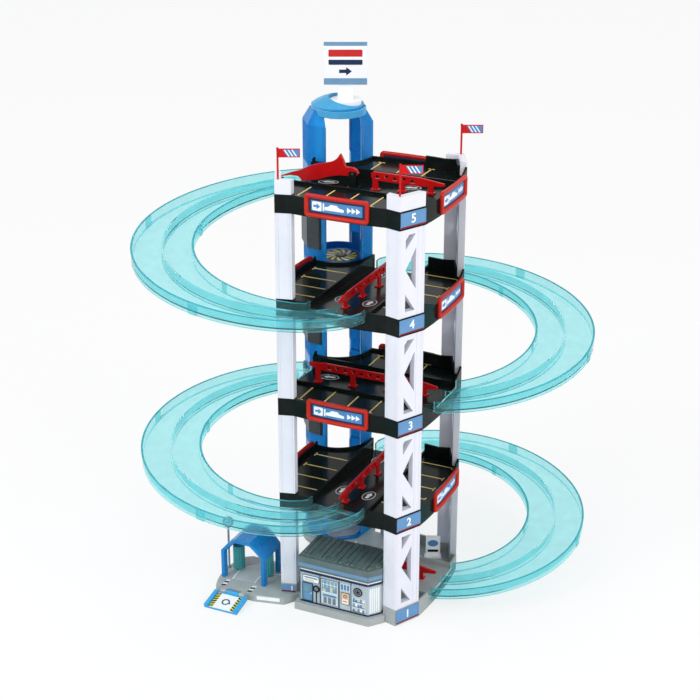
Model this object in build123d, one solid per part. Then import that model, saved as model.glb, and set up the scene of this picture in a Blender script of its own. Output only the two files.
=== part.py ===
"""Toy parking garage: five levels, a corner lift and four two-lane loop tracks.

Millimetres, +Z up.  The origin is the centre of the tower on the underside of
the base, +X runs to the right along the front face and +Y runs to the back.
Every storey repeats: a black deck with a two-lane channel, three white corner
columns, a pair of blue lift posts.  Cars roll from the top deck to the base
over four loops that leave one face of a deck and arrive one storey lower.
"""
import os
from math import asin, atan2, cos, degrees, hypot, pi, sin

from build123d import *

# ---------------------------------------------------------------- storeys
STOREY = 150.0            # from the underside of one deck to the next
LEVELS = 5
RIM_HEIGHT = 26.0         # band round every deck
BAY_HEIGHT = 22.0         # parking surface above the deck's underside
SHELL = 2.5               # moulded wall of decks and base
RIM_LIP = 3.0             # upturned lip round the parking surface
FIT = 0.3                 # gap between pieces that only meet

# ---------------------------------------------------------------- outline
VERTEX_X = 92.0           # corner of the deck
VERTEX_Y = 113.0
FRONT_END_X = 70.0        # where the corner block ends on the front and back
FRONT_END_Y = 107.0
SIDE_END_X = 112.0        # where the corner block ends on the left and right
SIDE_END_Y = 73.0
FRONT_BULGE = 4.0         # how far the front arc swells past the block ends
SIDE_BULGE = 4.0
FRONT_FACE = FRONT_END_Y + FRONT_BULGE
SIDE_FACE = SIDE_END_X + SIDE_BULGE

# ---------------------------------------------------------------- channel
LANE_PITCH = 41.0         # from the middle wall to each outer wall
CHANNEL_HALF = 43.5       # inner face of the channel's side walls
CHANNEL_WALL = 3.0
FLOOR_IN = 20.0           # channel floor where cars arrive
FLOOR_OUT = 5.0           # channel floor where they leave
PARAPET_THICK = 3.0       # raised walls on the sides and at the back right
PARAPET_HIGH = 39.0       # at the corner blocks
PARAPET_LOW = 29.0        # where a wall meets a sign frame
PARAPET_BACK = 40.0
PARAPET_BACK_START = 40.0
PARAPET_BACK_INSET = 10.0

# ---------------------------------------------------------------- loop tracks
LOOP_RADIUS = 122.0       # middle wall
TRACK_WALL = 2.2
TRACK_FLOOR = 2.0
WALL_ABOVE = 11.0         # wall above the running surface
WALL_BELOW = 5.0          # skirt below the running surface
TONGUE_HALF = 30.0
TONGUE_REACH = 12.0
TONGUE_THICK = 1.8
TONGUE_GAP = 0.4

# ---------------------------------------------------------------- columns
COLUMN_INSET = 0.5        # column face behind the deck's face
COLUMN_DEPTH = 9.0        # thickness of a column leg
PIN_RADIUS = 2.5
PIN_LENGTH = 8.0
PIN_CLEAR = 0.15
CAP_HEIGHT = 20.0

# ---------------------------------------------------------------- lift
LIFT_X = -101.0
LIFT_Y = 104.0
SHAFT_RADIUS = 52.0       # to the corners of the eight-sided shaft
SHAFT_WALL = 4.0
SHAFT_COLLAR_WALL = 8.0
SHAFT_COLLAR_TOP = 16.0
SHAFT_FLANGE = 6.0        # how far the deck seat stands out
SHAFT_FLANGE_THICK = 3.0
SHAFT_NOTCH_CLEAR = 1.5
SHAFT_TURN = -53.0        # the openings between the posts face this way and its opposite
GAP_HALF = 26.0           # half the opening between the posts
SHAFT_SILL = 3.0          # what closes the front opening below and above
SHAFT_LINTEL = 8.0
GUIDE_THICK = 3.0         # dark panels outside the outer post
GUIDE_HALF = 36.0
GUIDE_LOW = 41.0          # clear of the decks' raised walls
SHOE_CLEAR = 5.0          # the carriage's shoes stay clear of the posts
ARCH_BOTTOM = 87.0        # above the top deck's underside
ARCH_SHOULDER = 75.0
ARCH_TOP = 93.0
ARCH_INSET = 11.0         # how far the chamfer of the arch leans in
CAP_RIM = 6.0
CAP_DOME = 13.0
CAP_RADIUS = 38.0
CAP_CLEAR = 1.0           # round the sign's turning foot
HEAD_OFFSET = 13.0        # bracket and turntable sit this far towards the tower
SIGN_OFFSET = 12.5        # the sign's axis sits this far to the right of the shaft's
HEAD_RADIUS = 36.0
HEAD_BOTTOM = 88.0
HEAD_TOP = 97.0
PLATFORM_RADIUS = 40.0
PLATFORM_BOTTOM = 14.0
PLATFORM_TOP = 18.0
RING_RADIUS = 30.5        # raised ring round the turntable
TURNTABLE_RADIUS = 26.5
TURNTABLE_TOP = 22.0
REST_LEVEL = 4

# ---------------------------------------------------------------- roof sign
SIGN_SIZE = 62.0
SIGN_THICK = 4.0
SIGN_YAW = 25.0           # the sign is turned by this angle from the front
DISC_RADIUS = 23.0
DISC_HEIGHT = 9.0
NECK_WIDTH = 22.0
NECK_HEIGHT = 21.0
SPINDLE_RADIUS = 5.0
SPINDLE_LENGTH = 8.0
RUNNING = 0.1             # radial clearance of every turning pin

# ---------------------------------------------------------------- rails and signs
RAIL_TOP = 39.0
RAIL_HEIGHT = 12.0
RAIL_THICK = 3.0
RAIL_FOOT = 8.0
FRAME_HALF = 47.0
FRAME_LOW = 2.0
FRAME_HIGH = 34.0
FRAME_BORDER = 6.0
FRAME_DEPTH = 5.0
INSERT_THICK = 1.6
PLATE_HEIGHT = 21.0
PLATE_THICK = 1.2
PLATE_LOW = 3.0

# ---------------------------------------------------------------- starting lever
GATE_PIN_X = -27.0
GATE_PIN_Z = 31.5
GATE_PIN_RADIUS = 2.0
GATE_HALF = 2.5
EAR_THICK = 2.5

# ---------------------------------------------------------------- flags
POLE_RADIUS = 1.4
POLE_HEIGHT = 42.0
FLAG_LENGTH = 30.0
FLAG_HEIGHT = 12.0
FLAG_THICK = 1.0
FLAG_YAW = 25.0

# ---------------------------------------------------------------- base, shop, wash
BASE_TOP = 12.0
SHOP_LEFT, SHOP_RIGHT = -54.0, 67.0
SHOP_FRONT, SHOP_BACK = -124.0, -62.0
SHOP_CHAMFER_X, SHOP_CHAMFER_Y = 13.0, 16.0
SHOP_WALL = 2.5
SHOP_HEIGHT = 57.0
ROOF_HEIGHT = 22.0
ROOF_OVERHANG = 2.5
ROOF_RIB = 3.0
APRON = 7.0               # base beyond the shop's walls
WASH_X = -156.0           # middle of the wash lane
WASH_FRONT, WASH_BACK = -114.0, -58.0
WASH_HALF = 36.0
WASH_LEG = 10.0
WASH_HEIGHT = 68.0
WASH_SHELL = 5.0
BRUSH_X = 24.5            # brush axis from the middle of the lane
BRUSH_Y = -80.0
BRUSH_RADIUS = 9.0
BRUSH_CORE = 3.0
BRUSH_HEIGHT = 38.0
RAMP_HALF = 27.0
RAMP_LENGTH = 40.0
RAMP_HINGE_Y = -145.0
RAMP_HINGE_Z = 9.0
RAMP_PIN = 1.6
RAMP_UNDER = 1.2          # plate below the hinge line
ANNEX_LEFT = -198.0
ANNEX_FRONT = -139.0
ANNEX_BACK = -40.0

os.makedirs("parts", exist_ok=True)


# ================================================================ helpers
def save(node, *solids):
    """Write one sub-part: a single solid, or a group of separate ones."""
    shape = solids[0] if len(solids) == 1 else Compound(children=list(solids))
    shape.label = node
    export_step(shape, f"parts/{node}.step")


def block(x0, x1, y0, y1, z0, z1):
    """A box given by its six faces."""
    return Pos((x0 + x1) / 2, (y0 + y1) / 2, (z0 + z1) / 2) * Box(x1 - x0, y1 - y0, z1 - z0)


def post(x, y, radius, z0, z1):
    """An upright cylinder."""
    return Pos(x, y, (z0 + z1) / 2) * Cylinder(radius, z1 - z0)


def upright(points, y0, y1):
    """An XZ outline given thickness along Y."""
    face = make_face(Polyline(*[(x, y0, z) for x, z in points], close=True))
    return extrude(face, amount=y1 - y0, dir=(0, 1, 0))


def deck_face(grow=0.0):
    """Plan of a deck: four shallow arcs joined by four corner blocks."""
    edges = []
    corners = [(1, -1), (1, 1), (-1, 1), (-1, -1)]
    for index, (sx, sy) in enumerate(corners):
        front = (sx * FRONT_END_X, sy * FRONT_END_Y)
        tip = (sx * VERTEX_X, sy * VERTEX_Y)
        side = (sx * SIDE_END_X, sy * SIDE_END_Y)
        edges += [Line(front, tip), Line(tip, side)]
        nx, ny = corners[(index + 1) % 4]
        if nx == sx:
            edges.append(ThreePointArc(side, (sx * SIDE_FACE, 0), (nx * SIDE_END_X, ny * SIDE_END_Y)))
        else:
            middle = (0, sy * FRONT_FACE)
            edges.append(ThreePointArc(front, middle, (nx * FRONT_END_X, ny * FRONT_END_Y)))
    face = make_face(edges)
    if grow:
        face = offset(face, amount=grow, kind=Kind.INTERSECTION)
    return face


def prism(face, z0, z1):
    """A plan face given height."""
    return Pos(0, 0, z0) * extrude(face, amount=z1 - z0, dir=(0, 0, 1))


CORNERS = {"front": (1, -1), "left": (-1, -1), "right": (1, 1)}


def corner_box(corner, z0, z1):
    """The square region of the plan that holds one corner's column."""
    sx, sy = CORNERS[corner]
    xs = sorted((sx * FRONT_END_X, sx * (SIDE_FACE + 10)))
    ys = sorted((sy * SIDE_END_Y, sy * (FRONT_FACE + 10)))
    return block(xs[0], xs[1], ys[0], ys[1], z0, z1)


def corner_strip(corner, z0, z1, inset, depth):
    """An L-shaped leg pair that follows the deck's edge round one corner."""
    ring = prism(deck_face(-inset), z0, z1) - prism(deck_face(-inset - depth), z0 - 1, z1 + 1)
    return ring & corner_box(corner, z0, z1)


def leg_points(corner):
    """Pin positions: the middle of each leg of a corner column."""
    sx, sy = CORNERS[corner]
    inward = COLUMN_INSET + COLUMN_DEPTH / 2
    tip = (sx * VERTEX_X, sy * VERTEX_Y)
    spots = []
    for end in ((sx * FRONT_END_X, sy * FRONT_END_Y), (sx * SIDE_END_X, sy * SIDE_END_Y)):
        mx, my = (tip[0] + end[0]) / 2, (tip[1] + end[1]) / 2
        dx, dy = end[0] - tip[0], end[1] - tip[1]
        length = hypot(dx, dy)
        nx, ny = dy / length, -dx / length
        if nx * mx + ny * my > 0:
            nx, ny = -nx, -ny
        spots.append((mx + nx * inward, my + ny * inward))
    return spots


def runs_along_x(level):
    """Odd levels carry their channel from right to left, even ones front to back."""
    return level % 2 == 1


def turned(shape, level):
    """Turn a shape drawn with its channel along X to the level's own direction."""
    return shape if runs_along_x(level) else Rot(0, 0, -90) * shape


def channel_reach(level):
    return SIDE_FACE if runs_along_x(level) else FRONT_FACE


def floor_at(along, level):
    """Height of the channel floor; `along` runs from the exit to the entry."""
    reach = channel_reach(level)
    return FLOOR_OUT + (FLOOR_IN - FLOOR_OUT) * (along + reach) / (2 * reach)


def underside(level):
    return (level - 1) * STOREY


# ================================================================ decks
def channel_prism(level, low, high, half, reach):
    """A bar along the channel; low and high are offsets from the floor or fixed heights."""
    ends = (-reach, reach)
    points = [(end, floor_at(end, level) + low if low is not None else -1.0) for end in ends]
    tops = [(end, floor_at(end, level) + high if high is not None else 2 * STOREY) for end in ends]
    return upright(points + tops[::-1], -half, half)


def parapets(level):
    """Raised rim: sloping walls on both sides, and a higher one at the back right."""
    outer = CHANNEL_HALF + CHANNEL_WALL
    ring = prism(deck_face(), 1, PARAPET_BACK) - prism(deck_face(-PARAPET_THICK), 0, PARAPET_BACK + 1)
    walls = None
    for side_x in (-1, 1):
        for side_y in (-1, 1):
            points = [(side_y * outer, 1), (side_y * SIDE_END_Y, 1), (side_y * SIDE_END_Y, PARAPET_HIGH),
                      (side_y * outer, PARAPET_LOW)]
            face = make_face(Polyline(*[(side_x * SIDE_END_X, y, z) for y, z in points], close=True))
            wall = ring & extrude(face, amount=20, dir=(1, 0, 0), both=True)
            walls = wall if walls is None else walls + wall
    inset = deck_face(-PARAPET_BACK_INSET)
    strip = prism(inset, 1, PARAPET_BACK) - prism(offset(inset, amount=-PARAPET_THICK), 0, PARAPET_BACK + 1)
    start = outer if level % 2 == 0 else PARAPET_BACK_START
    return walls + (strip & block(start, 200, SIDE_END_Y, 200, BAY_HEIGHT - SHELL, PARAPET_BACK))


def deck(level):
    """One black deck: rim, parking surfaces, sloping channel, hollow below."""
    outer = CHANNEL_HALF + CHANNEL_WALL
    reach = channel_reach(level)
    strip = turned(block(-200, 200, -outer, outer, -1, STOREY), level)
    notch_radius = SHAFT_RADIUS + SHAFT_NOTCH_CLEAR
    notch_wall = post(LIFT_X, LIFT_Y, notch_radius + SHELL, -1, STOREY)
    pads = [corner_strip(name, -1, STOREY, 0.0, COLUMN_INSET + COLUMN_DEPTH + 1.0) for name in CORNERS]

    body = prism(deck_face(), 0, RIM_HEIGHT)
    above = prism(deck_face(-RIM_LIP), BAY_HEIGHT, RIM_HEIGHT + 1) - strip - notch_wall
    below = prism(deck_face(-SHELL), -1, BAY_HEIGHT - SHELL) - strip - notch_wall
    for pad in pads:
        above -= pad
        below -= pad
    body = body - above - below

    lane = channel_prism(level, 0.0, None, CHANNEL_HALF, 200.0)
    if level == LEVELS:
        lane = lane & block(-200, SIDE_FACE - SHELL, -200, 200, -1, 3 * STOREY)
    hollow = channel_prism(level, None, -SHELL, CHANNEL_HALF, reach - SHELL)
    body = body - turned(lane, level) - turned(hollow, level)
    body += parapets(level)
    for end, floor in ((-1, FLOOR_OUT), (1, FLOOR_IN)):
        if level == LEVELS and end == 1:
            continue
        slot_top = floor - SHELL - 0.1
        slot = block(end * reach - SHELL - 2, end * reach + SHELL + 2, -TONGUE_HALF - 1, TONGUE_HALF + 1,
                     slot_top - TONGUE_THICK - 2 * TONGUE_GAP - 0.9, slot_top)
        body -= turned(slot, level)
    body -= post(LIFT_X, LIFT_Y, notch_radius, -1, STOREY)
    for name in CORNERS:
        for x, y in leg_points(name):
            body -= post(x, y, PIN_RADIUS + PIN_CLEAR, -1, PIN_LENGTH + 1)
    return Pos(0, 0, underside(level)) * body


# ================================================================ base
def shop_outline(grow=0.0):
    """Plan of the workshop: a box with its front right corner cut off."""
    points = [(SHOP_LEFT, SHOP_FRONT), (SHOP_RIGHT - SHOP_CHAMFER_X, SHOP_FRONT),
              (SHOP_RIGHT, SHOP_FRONT + SHOP_CHAMFER_Y), (SHOP_RIGHT, SHOP_BACK), (SHOP_LEFT, SHOP_BACK)]
    face = make_face(Polyline(*points, close=True))
    return offset(face, amount=grow, kind=Kind.INTERSECTION) if grow else face


def annex_face(grow=0.0):
    """Plan of the wash platform at the front left."""
    hinge_left = WASH_X - RAMP_HALF - 5
    points = [(-60, -100), (-80, -129), (WASH_X + RAMP_HALF + 5, ANNEX_FRONT), (hinge_left, ANNEX_FRONT)]
    edge = Polyline(*points)
    corner = ThreePointArc((hinge_left, ANNEX_FRONT), (ANNEX_LEFT, -95), (ANNEX_LEFT + 8, ANNEX_BACK - 8))
    back = Polyline((ANNEX_LEFT + 8, ANNEX_BACK - 8), (ANNEX_LEFT + 20, ANNEX_BACK),
                    (-90, ANNEX_BACK), (-60, -100))
    face = make_face([*edge.edges(), corner, *back.edges()])
    return offset(face, amount=grow, kind=Kind.INTERSECTION) if grow else face


def base_plate():
    """Grey base: open frame below, roads and low kerbs above."""
    outer = CHANNEL_HALF + CHANNEL_WALL
    level = 1
    well = post(LIFT_X, LIFT_Y, SHAFT_RADIUS + SHAFT_FLANGE, 0, BASE_TOP)
    body = prism(deck_face(), 0, BASE_TOP) + prism(annex_face(), 0, BASE_TOP)
    body = body + prism(shop_outline(APRON), 0, BASE_TOP) + well
    inner = prism(deck_face(-SHELL), -1, BASE_TOP - SHELL) + prism(annex_face(-SHELL), -1, BASE_TOP - SHELL)
    inner = inner + prism(shop_outline(APRON - SHELL), -1, BASE_TOP - SHELL)
    inner = inner + post(LIFT_X, LIFT_Y, SHAFT_RADIUS + SHAFT_FLANGE - SHELL, -1, BASE_TOP - SHELL)
    pads = [corner_strip(name, 0, RIM_HEIGHT, 0.0, COLUMN_INSET + COLUMN_DEPTH + 1.0) for name in CORNERS]
    for pad in pads:
        inner -= pad
    body -= inner
    rim = prism(deck_face(), BASE_TOP - 0.5, RIM_HEIGHT) - prism(deck_face(-RIM_LIP), 0, RIM_HEIGHT + 1)
    rim = rim & (block(FRONT_END_X, 200, -200, 200, 0, STOREY) + block(-30, 200, SIDE_END_Y, 200, 0, STOREY))
    road = channel_prism(level, None, 0.0, outer, 200.0) & prism(deck_face(), BASE_TOP - 0.5, RIM_HEIGHT)
    road = road & block(-10, 200, -200, 200, 0, STOREY)
    kerbs = block(0, SIDE_FACE, -outer, -CHANNEL_HALF, BASE_TOP - 0.5, RIM_HEIGHT)
    kerbs += block(-30, SIDE_FACE, CHANNEL_HALF, outer, BASE_TOP - 0.5, RIM_HEIGHT)
    kerbs = kerbs & prism(deck_face(), 0, RIM_HEIGHT)
    body = body + rim + road + kerbs
    for pad in pads:
        body += pad
    lane = channel_prism(level, 0.0, None, CHANNEL_HALF, 200.0) & block(60, 200, -200, 200, 0, STOREY)
    hollow = channel_prism(level, None, -SHELL, CHANNEL_HALF, SIDE_FACE - SHELL)
    hollow = hollow & block(2, 200, -200, 200, -1, STOREY)
    body = body - lane - hollow
    slot_top = FLOOR_IN - SHELL - 0.1
    body -= block(SIDE_FACE - SHELL - 2, SIDE_FACE + SHELL + 2, -TONGUE_HALF - 1, TONGUE_HALF + 1,
                  slot_top - TONGUE_THICK - 2 * TONGUE_GAP - 0.9, slot_top)
    knuckle = Rot(0, 90, 0) * Cylinder(4.0, 9.0)
    for side in (-1, 1):
        x = WASH_X + side * (RAMP_HALF - 11.5)
        arm = block(x - 4.5, x + 4.5, RAMP_HINGE_Y, ANNEX_FRONT + 1, RAMP_HINGE_Z - 4.0, RAMP_HINGE_Z + 2.5)
        ear = Pos(x, RAMP_HINGE_Y, RAMP_HINGE_Z) * knuckle
        body = body + arm + (ear & block(-300, 300, -300, 300, 0, 40))
        body -= Pos(x, RAMP_HINGE_Y, RAMP_HINGE_Z) * (Rot(0, 90, 0) * Cylinder(RAMP_PIN, 20))
    for side in (-1, 1):
        x = WASH_X + side * BRUSH_X
        body += post(x, BRUSH_Y, 6.0, 0.0, BASE_TOP)
        body -= post(x, BRUSH_Y, BRUSH_CORE + RUNNING, 3.0, BASE_TOP + 1)
    return body


# ================================================================ columns
def lattice_cuts(corner, z0):
    """Three triangles that open the wide leg of a column into a truss."""
    sx, sy = CORNERS[corner]
    dx, dy = sx * (SIDE_END_X - VERTEX_X), sy * (SIDE_END_Y - VERTEX_Y)
    length = hypot(dx, dy)
    heading = (dx / length, dy / length, 0)
    corner_point = (sx * VERTEX_X, sy * VERTEX_Y, z0)
    plane = Plane(origin=corner_point, x_dir=heading, z_dir=(heading[1], -heading[0], 0))
    flip = 1 if plane.y_dir.Z > 0 else -1
    near, far = 11.0, 28.0
    triangles = [[(near, 8), (near, 33), (far, 8)],
                 [(far + 1, 38), (far + 1, 96), (near, 67)],
                 [(near, 96), (near, 116), (far, 116)]]
    cuts = []
    for triangle in triangles:
        face = plane * make_face(Polyline(*[(u, flip * v) for u, v in triangle], close=True))
        cuts.append(extrude(face, amount=30, both=True))
    return cuts


def column(corner, level):
    """An L-shaped column: a narrow plain leg and a wide lattice leg."""
    z0, z1 = underside(level) + RIM_HEIGHT, underside(level + 1)
    body = corner_strip(corner, z0, z1, COLUMN_INSET, COLUMN_DEPTH)
    for cut in lattice_cuts(corner, z0):
        body -= cut
    for x, y in leg_points(corner):
        body += post(x, y, PIN_RADIUS, z1 - 1, z1 + PIN_LENGTH)
    return body


def pole_foot(corner):
    """Where the flag pole stands: just inside the corner of the cap."""
    sx, sy = CORNERS[corner]
    return sx * (VERTEX_X - 3.0), sy * (VERTEX_Y - 6.0)


def corner_cap(corner):
    """White end cap on the top deck, bored for its flag."""
    z0 = underside(LEVELS) + RIM_HEIGHT
    body = corner_strip(corner, z0, z0 + CAP_HEIGHT, COLUMN_INSET, COLUMN_DEPTH)
    x, y = pole_foot(corner)
    return body - post(x, y, POLE_RADIUS + 0.05, z0 + CAP_HEIGHT - 9, z0 + CAP_HEIGHT + 1)


def flag(corner):
    """Pole and flag moulded as one piece."""
    x, y = pole_foot(corner)
    foot = underside(LEVELS) + RIM_HEIGHT + CAP_HEIGHT
    top = foot + POLE_HEIGHT
    cloth = Pos(FLAG_LENGTH / 2, 0, top - FLAG_HEIGHT / 2) * Box(FLAG_LENGTH, FLAG_THICK, FLAG_HEIGHT)
    return post(x, y, POLE_RADIUS, foot - 9, top) + Pos(x, y, 0) * (Rot(0, 0, FLAG_YAW) * cloth)


# ================================================================ loop tracks
def track_profile(plane):
    """Two-lane section: floor with three walls, drawn radially at floor height."""
    half_wall = TRACK_WALL / 2
    reach = LANE_PITCH + half_wall
    profile = Pos(0, -TRACK_FLOOR / 2) * Rectangle(2 * reach, TRACK_FLOOR)
    for offset_x in (-LANE_PITCH, 0, LANE_PITCH):
        wall = Rectangle(TRACK_WALL, WALL_ABOVE + WALL_BELOW)
        profile += Pos(offset_x, (WALL_ABOVE - WALL_BELOW) / 2) * wall
    return plane * profile


def left_loop(level, exit_face=SIDE_FACE, entry_face=FRONT_FACE):
    """Loop that leaves the left face of `level` and reaches the front of the deck below."""
    high = underside(level) + FLOOR_OUT
    low = underside(level - 1) + FLOOR_IN
    centre = (-LOOP_RADIUS, -LOOP_RADIUS)
    turn = 0.75
    helix = Helix(pitch=(high - low) / turn, height=high - low, radius=LOOP_RADIUS, lefthand=True)
    path = Pos(centre[0], centre[1], low) * helix
    low_plane = Plane(origin=(0, -LOOP_RADIUS, low), x_dir=(1, 0, 0), z_dir=(0, -1, 0))
    body = sweep(track_profile(low_plane), path=path, is_frenet=True)
    front_end = -(entry_face + FIT)
    body += extrude(track_profile(low_plane), amount=front_end + LOOP_RADIUS, dir=(0, 1, 0))
    high_plane = Plane(origin=(-LOOP_RADIUS, 0, high), x_dir=(0, 1, 0), z_dir=(1, 0, 0))
    side_end = -(exit_face + FIT)
    body += extrude(track_profile(high_plane), amount=side_end + LOOP_RADIUS, dir=(1, 0, 0))
    for floor, level_of, at_front in ((low, level - 1, True), (high, level, False)):
        top = floor - SHELL - 0.1 - TONGUE_GAP - 0.9
        face = front_end if at_front else side_end
        web = (face - 3, face, floor - TRACK_FLOOR)
        spans = ((web[0], web[1], top - TONGUE_THICK, web[2]),
                 (face - 3, face + TONGUE_REACH, top - TONGUE_THICK, top))
        for near, far, z0, z1 in spans:
            if at_front:
                body += block(-TONGUE_HALF, TONGUE_HALF, near, far, z0, z1)
            else:
                body += block(near, far, -TONGUE_HALF, TONGUE_HALF, z0, z1)
    return body


def right_loop(level):
    """Mirror image of a left loop: leaves the back face and reaches the right face."""
    shape = left_loop(level, exit_face=FRONT_FACE, entry_face=SIDE_FACE)
    return mirror(shape, about=Plane(origin=(0, 0, 0), z_dir=(1, 1, 0)))


# ================================================================ lift
SHAFT_INNER = (SHAFT_RADIUS - SHAFT_WALL) * cos(pi / 8)
HEAD_X = LIFT_X + HEAD_OFFSET / 2 ** 0.5
HEAD_Y = LIFT_Y - HEAD_OFFSET / 2 ** 0.5
SIGN_X, SIGN_Y = LIFT_X + SIGN_OFFSET, LIFT_Y


def eight_sided(radius, z0, z1, inset=0.0):
    """Upright bar with eight flats; inset draws its top in by that much."""
    lower = Pos(LIFT_X, LIFT_Y, z0) * RegularPolygon(radius, 8, rotation=SHAFT_TURN + 22.5)
    if not inset:
        return extrude(lower, amount=z1 - z0, dir=(0, 0, 1))
    upper = Pos(LIFT_X, LIFT_Y, z1) * RegularPolygon(radius - inset, 8, rotation=SHAFT_TURN + 22.5)
    return loft([lower, upper], ruled=True)


def tube(radius, wall, z0, z1):
    return eight_sided(radius, z0, z1) - eight_sided(radius - wall, z0 - 1, z1 + 1)


def shaft_gap(z0, z1, end):
    """A slab out of one side of the shaft: end 1 faces the middle of the tower, -1 the back."""
    reach = SHAFT_RADIUS + 20
    slab = Pos(end * reach / 2, 0, 0) * Box(reach, 2 * GAP_HALF, z1 - z0)
    return Pos(LIFT_X, LIFT_Y, (z0 + z1) / 2) * (Rot(0, 0, SHAFT_TURN) * slab)


def shaft_section(level):
    """Blue lift posts of one storey with their collar and the seat of the next deck."""
    z0 = BASE_TOP if level == 1 else underside(level)
    collar_top = underside(level) + SHAFT_COLLAR_TOP
    z1 = underside(level + 1)
    posts = tube(SHAFT_RADIUS, SHAFT_WALL, collar_top - 1, z1)
    seat = tube(SHAFT_RADIUS + SHAFT_FLANGE, SHAFT_FLANGE + SHAFT_WALL, z1 - SHAFT_FLANGE_THICK, z1)
    seat = seat & (prism(deck_face(-SHELL), 0, z1) + eight_sided(SHAFT_RADIUS, 0, z1))
    body = tube(SHAFT_RADIUS, SHAFT_COLLAR_WALL, z0, collar_top) + posts + seat
    return body - shaft_gap(z0 + SHAFT_SILL, z1 - SHAFT_LINTEL, 1) - shaft_gap(z0 - 1, z1 + 1, -1)


def shaft_head():
    """Top of the lift: posts, chamfered arch and the round sign bracket."""
    z0 = underside(LEVELS)
    collar_top = z0 + SHAFT_COLLAR_TOP
    shoulder, top = z0 + ARCH_SHOULDER, z0 + ARCH_TOP
    body = tube(SHAFT_RADIUS, SHAFT_COLLAR_WALL, z0, collar_top)
    body += tube(SHAFT_RADIUS, SHAFT_WALL, collar_top - 1, shoulder)
    hood = eight_sided(SHAFT_RADIUS, shoulder, top, ARCH_INSET)
    hood -= eight_sided(SHAFT_RADIUS - SHAFT_WALL, shoulder - 0.5, top - SHAFT_WALL, ARCH_INSET)
    arch_bottom = z0 + ARCH_BOTTOM
    body = body + hood - shaft_gap(z0 + SHAFT_SILL, arch_bottom, 1) - shaft_gap(z0 - 1, arch_bottom, -1)
    head = post(HEAD_X, HEAD_Y, HEAD_RADIUS, z0 + HEAD_BOTTOM, z0 + HEAD_TOP)
    low = z0 + HEAD_BOTTOM - 1
    return body + head - post(SIGN_X, SIGN_Y, SPINDLE_RADIUS + RUNNING, low, z0 + HEAD_TOP + 1)


def lift_cap():
    """Pale blue domed cap on the arch and the bracket, open for the sign's foot."""
    z0 = underside(LEVELS) + ARCH_TOP
    sphere_radius = (CAP_RADIUS ** 2 + CAP_DOME ** 2) / (2 * CAP_DOME)
    dome = Pos(LIFT_X, LIFT_Y, z0 + CAP_RIM + CAP_DOME - sphere_radius) * Sphere(sphere_radius)
    dome = dome & post(LIFT_X, LIFT_Y, CAP_RADIUS, z0 + CAP_RIM, z0 + CAP_RIM + CAP_DOME + 1)
    dome += post(LIFT_X, LIFT_Y, CAP_RADIUS, z0, z0 + CAP_RIM)
    dome -= post(SIGN_X, SIGN_Y, DISC_RADIUS + CAP_CLEAR, z0 - 1, z0 + STOREY)
    return dome - post(HEAD_X, HEAD_Y, HEAD_RADIUS + FIT, z0 - 1, underside(LEVELS) + HEAD_TOP)


def sign_base():
    """White disc and neck that turn in the bracket."""
    z0 = underside(LEVELS) + HEAD_TOP
    body = post(SIGN_X, SIGN_Y, DISC_RADIUS, z0, z0 + DISC_HEIGHT)
    body += post(SIGN_X, SIGN_Y, SPINDLE_RADIUS, z0 - SPINDLE_LENGTH, z0 + 1)
    neck = Pos(0, 0, z0 + DISC_HEIGHT + NECK_HEIGHT / 2) * Box(NECK_WIDTH, 10, NECK_HEIGHT)
    slot = Pos(0, 0, z0 + DISC_HEIGHT + NECK_HEIGHT - 4) * Box(NECK_WIDTH + 2, SIGN_THICK, 10)
    return body + Pos(SIGN_X, SIGN_Y, 0) * (Rot(0, 0, SIGN_YAW) * (neck - slot))


def roof_sign():
    """Square panel that stands in the slot of the neck."""
    z0 = underside(LEVELS) + HEAD_TOP + DISC_HEIGHT + NECK_HEIGHT
    panel = Pos(0, 0, z0 + SIGN_SIZE / 2) * Box(SIGN_SIZE, SIGN_THICK, SIGN_SIZE)
    tab = Pos(0, 0, z0 - 4) * Box(NECK_WIDTH - 4, SIGN_THICK, 9)
    return Pos(SIGN_X, SIGN_Y, 0) * (Rot(0, 0, SIGN_YAW) * (panel + tab))


def lift_carriage():
    """Platform that slides between the posts, with a low back wall and a ring."""
    z0 = underside(REST_LEVEL)
    plate = post(LIFT_X, LIFT_Y, PLATFORM_RADIUS, z0 + PLATFORM_BOTTOM, z0 + PLATFORM_TOP)
    wall = post(LIFT_X, LIFT_Y, PLATFORM_RADIUS, z0 + PLATFORM_TOP - 1, z0 + BAY_HEIGHT + 22)
    wall -= post(LIFT_X, LIFT_Y, PLATFORM_RADIUS - 2.5, z0, z0 + STOREY)
    front = Pos(LIFT_X, LIFT_Y, z0) * (Rot(0, 0, SHAFT_TURN) * (Pos(100, 0, 0) * Box(210, 200, 3 * STOREY)))
    wall = wall - front - shaft_gap(z0 + TURNTABLE_TOP + 4, z0 + STOREY, -1)
    ring = post(HEAD_X, HEAD_Y, RING_RADIUS, z0 + PLATFORM_TOP - 1, z0 + TURNTABLE_TOP)
    ring = ring & post(LIFT_X, LIFT_Y, PLATFORM_RADIUS, z0, z0 + STOREY)
    ring -= post(HEAD_X, HEAD_Y, TURNTABLE_RADIUS + FIT, z0 + PLATFORM_TOP, z0 + STOREY)
    shoes = []
    for side in (-1, 1):
        shoe = Pos(0, side * (PLATFORM_RADIUS - 2), z0 + BAY_HEIGHT + 4) * Box(10, 8, 20)
        shoes.append(Pos(LIFT_X, LIFT_Y, 0) * (Rot(0, 0, SHAFT_TURN) * shoe))
    body = plate + wall + ring
    for shoe in shoes:
        body += shoe & post(LIFT_X, LIFT_Y, SHAFT_INNER - SHOE_CLEAR, z0, z0 + STOREY)
    return body - post(HEAD_X, HEAD_Y, SPINDLE_RADIUS + RUNNING, z0 + PLATFORM_BOTTOM - 1, z0 + STOREY)


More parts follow.
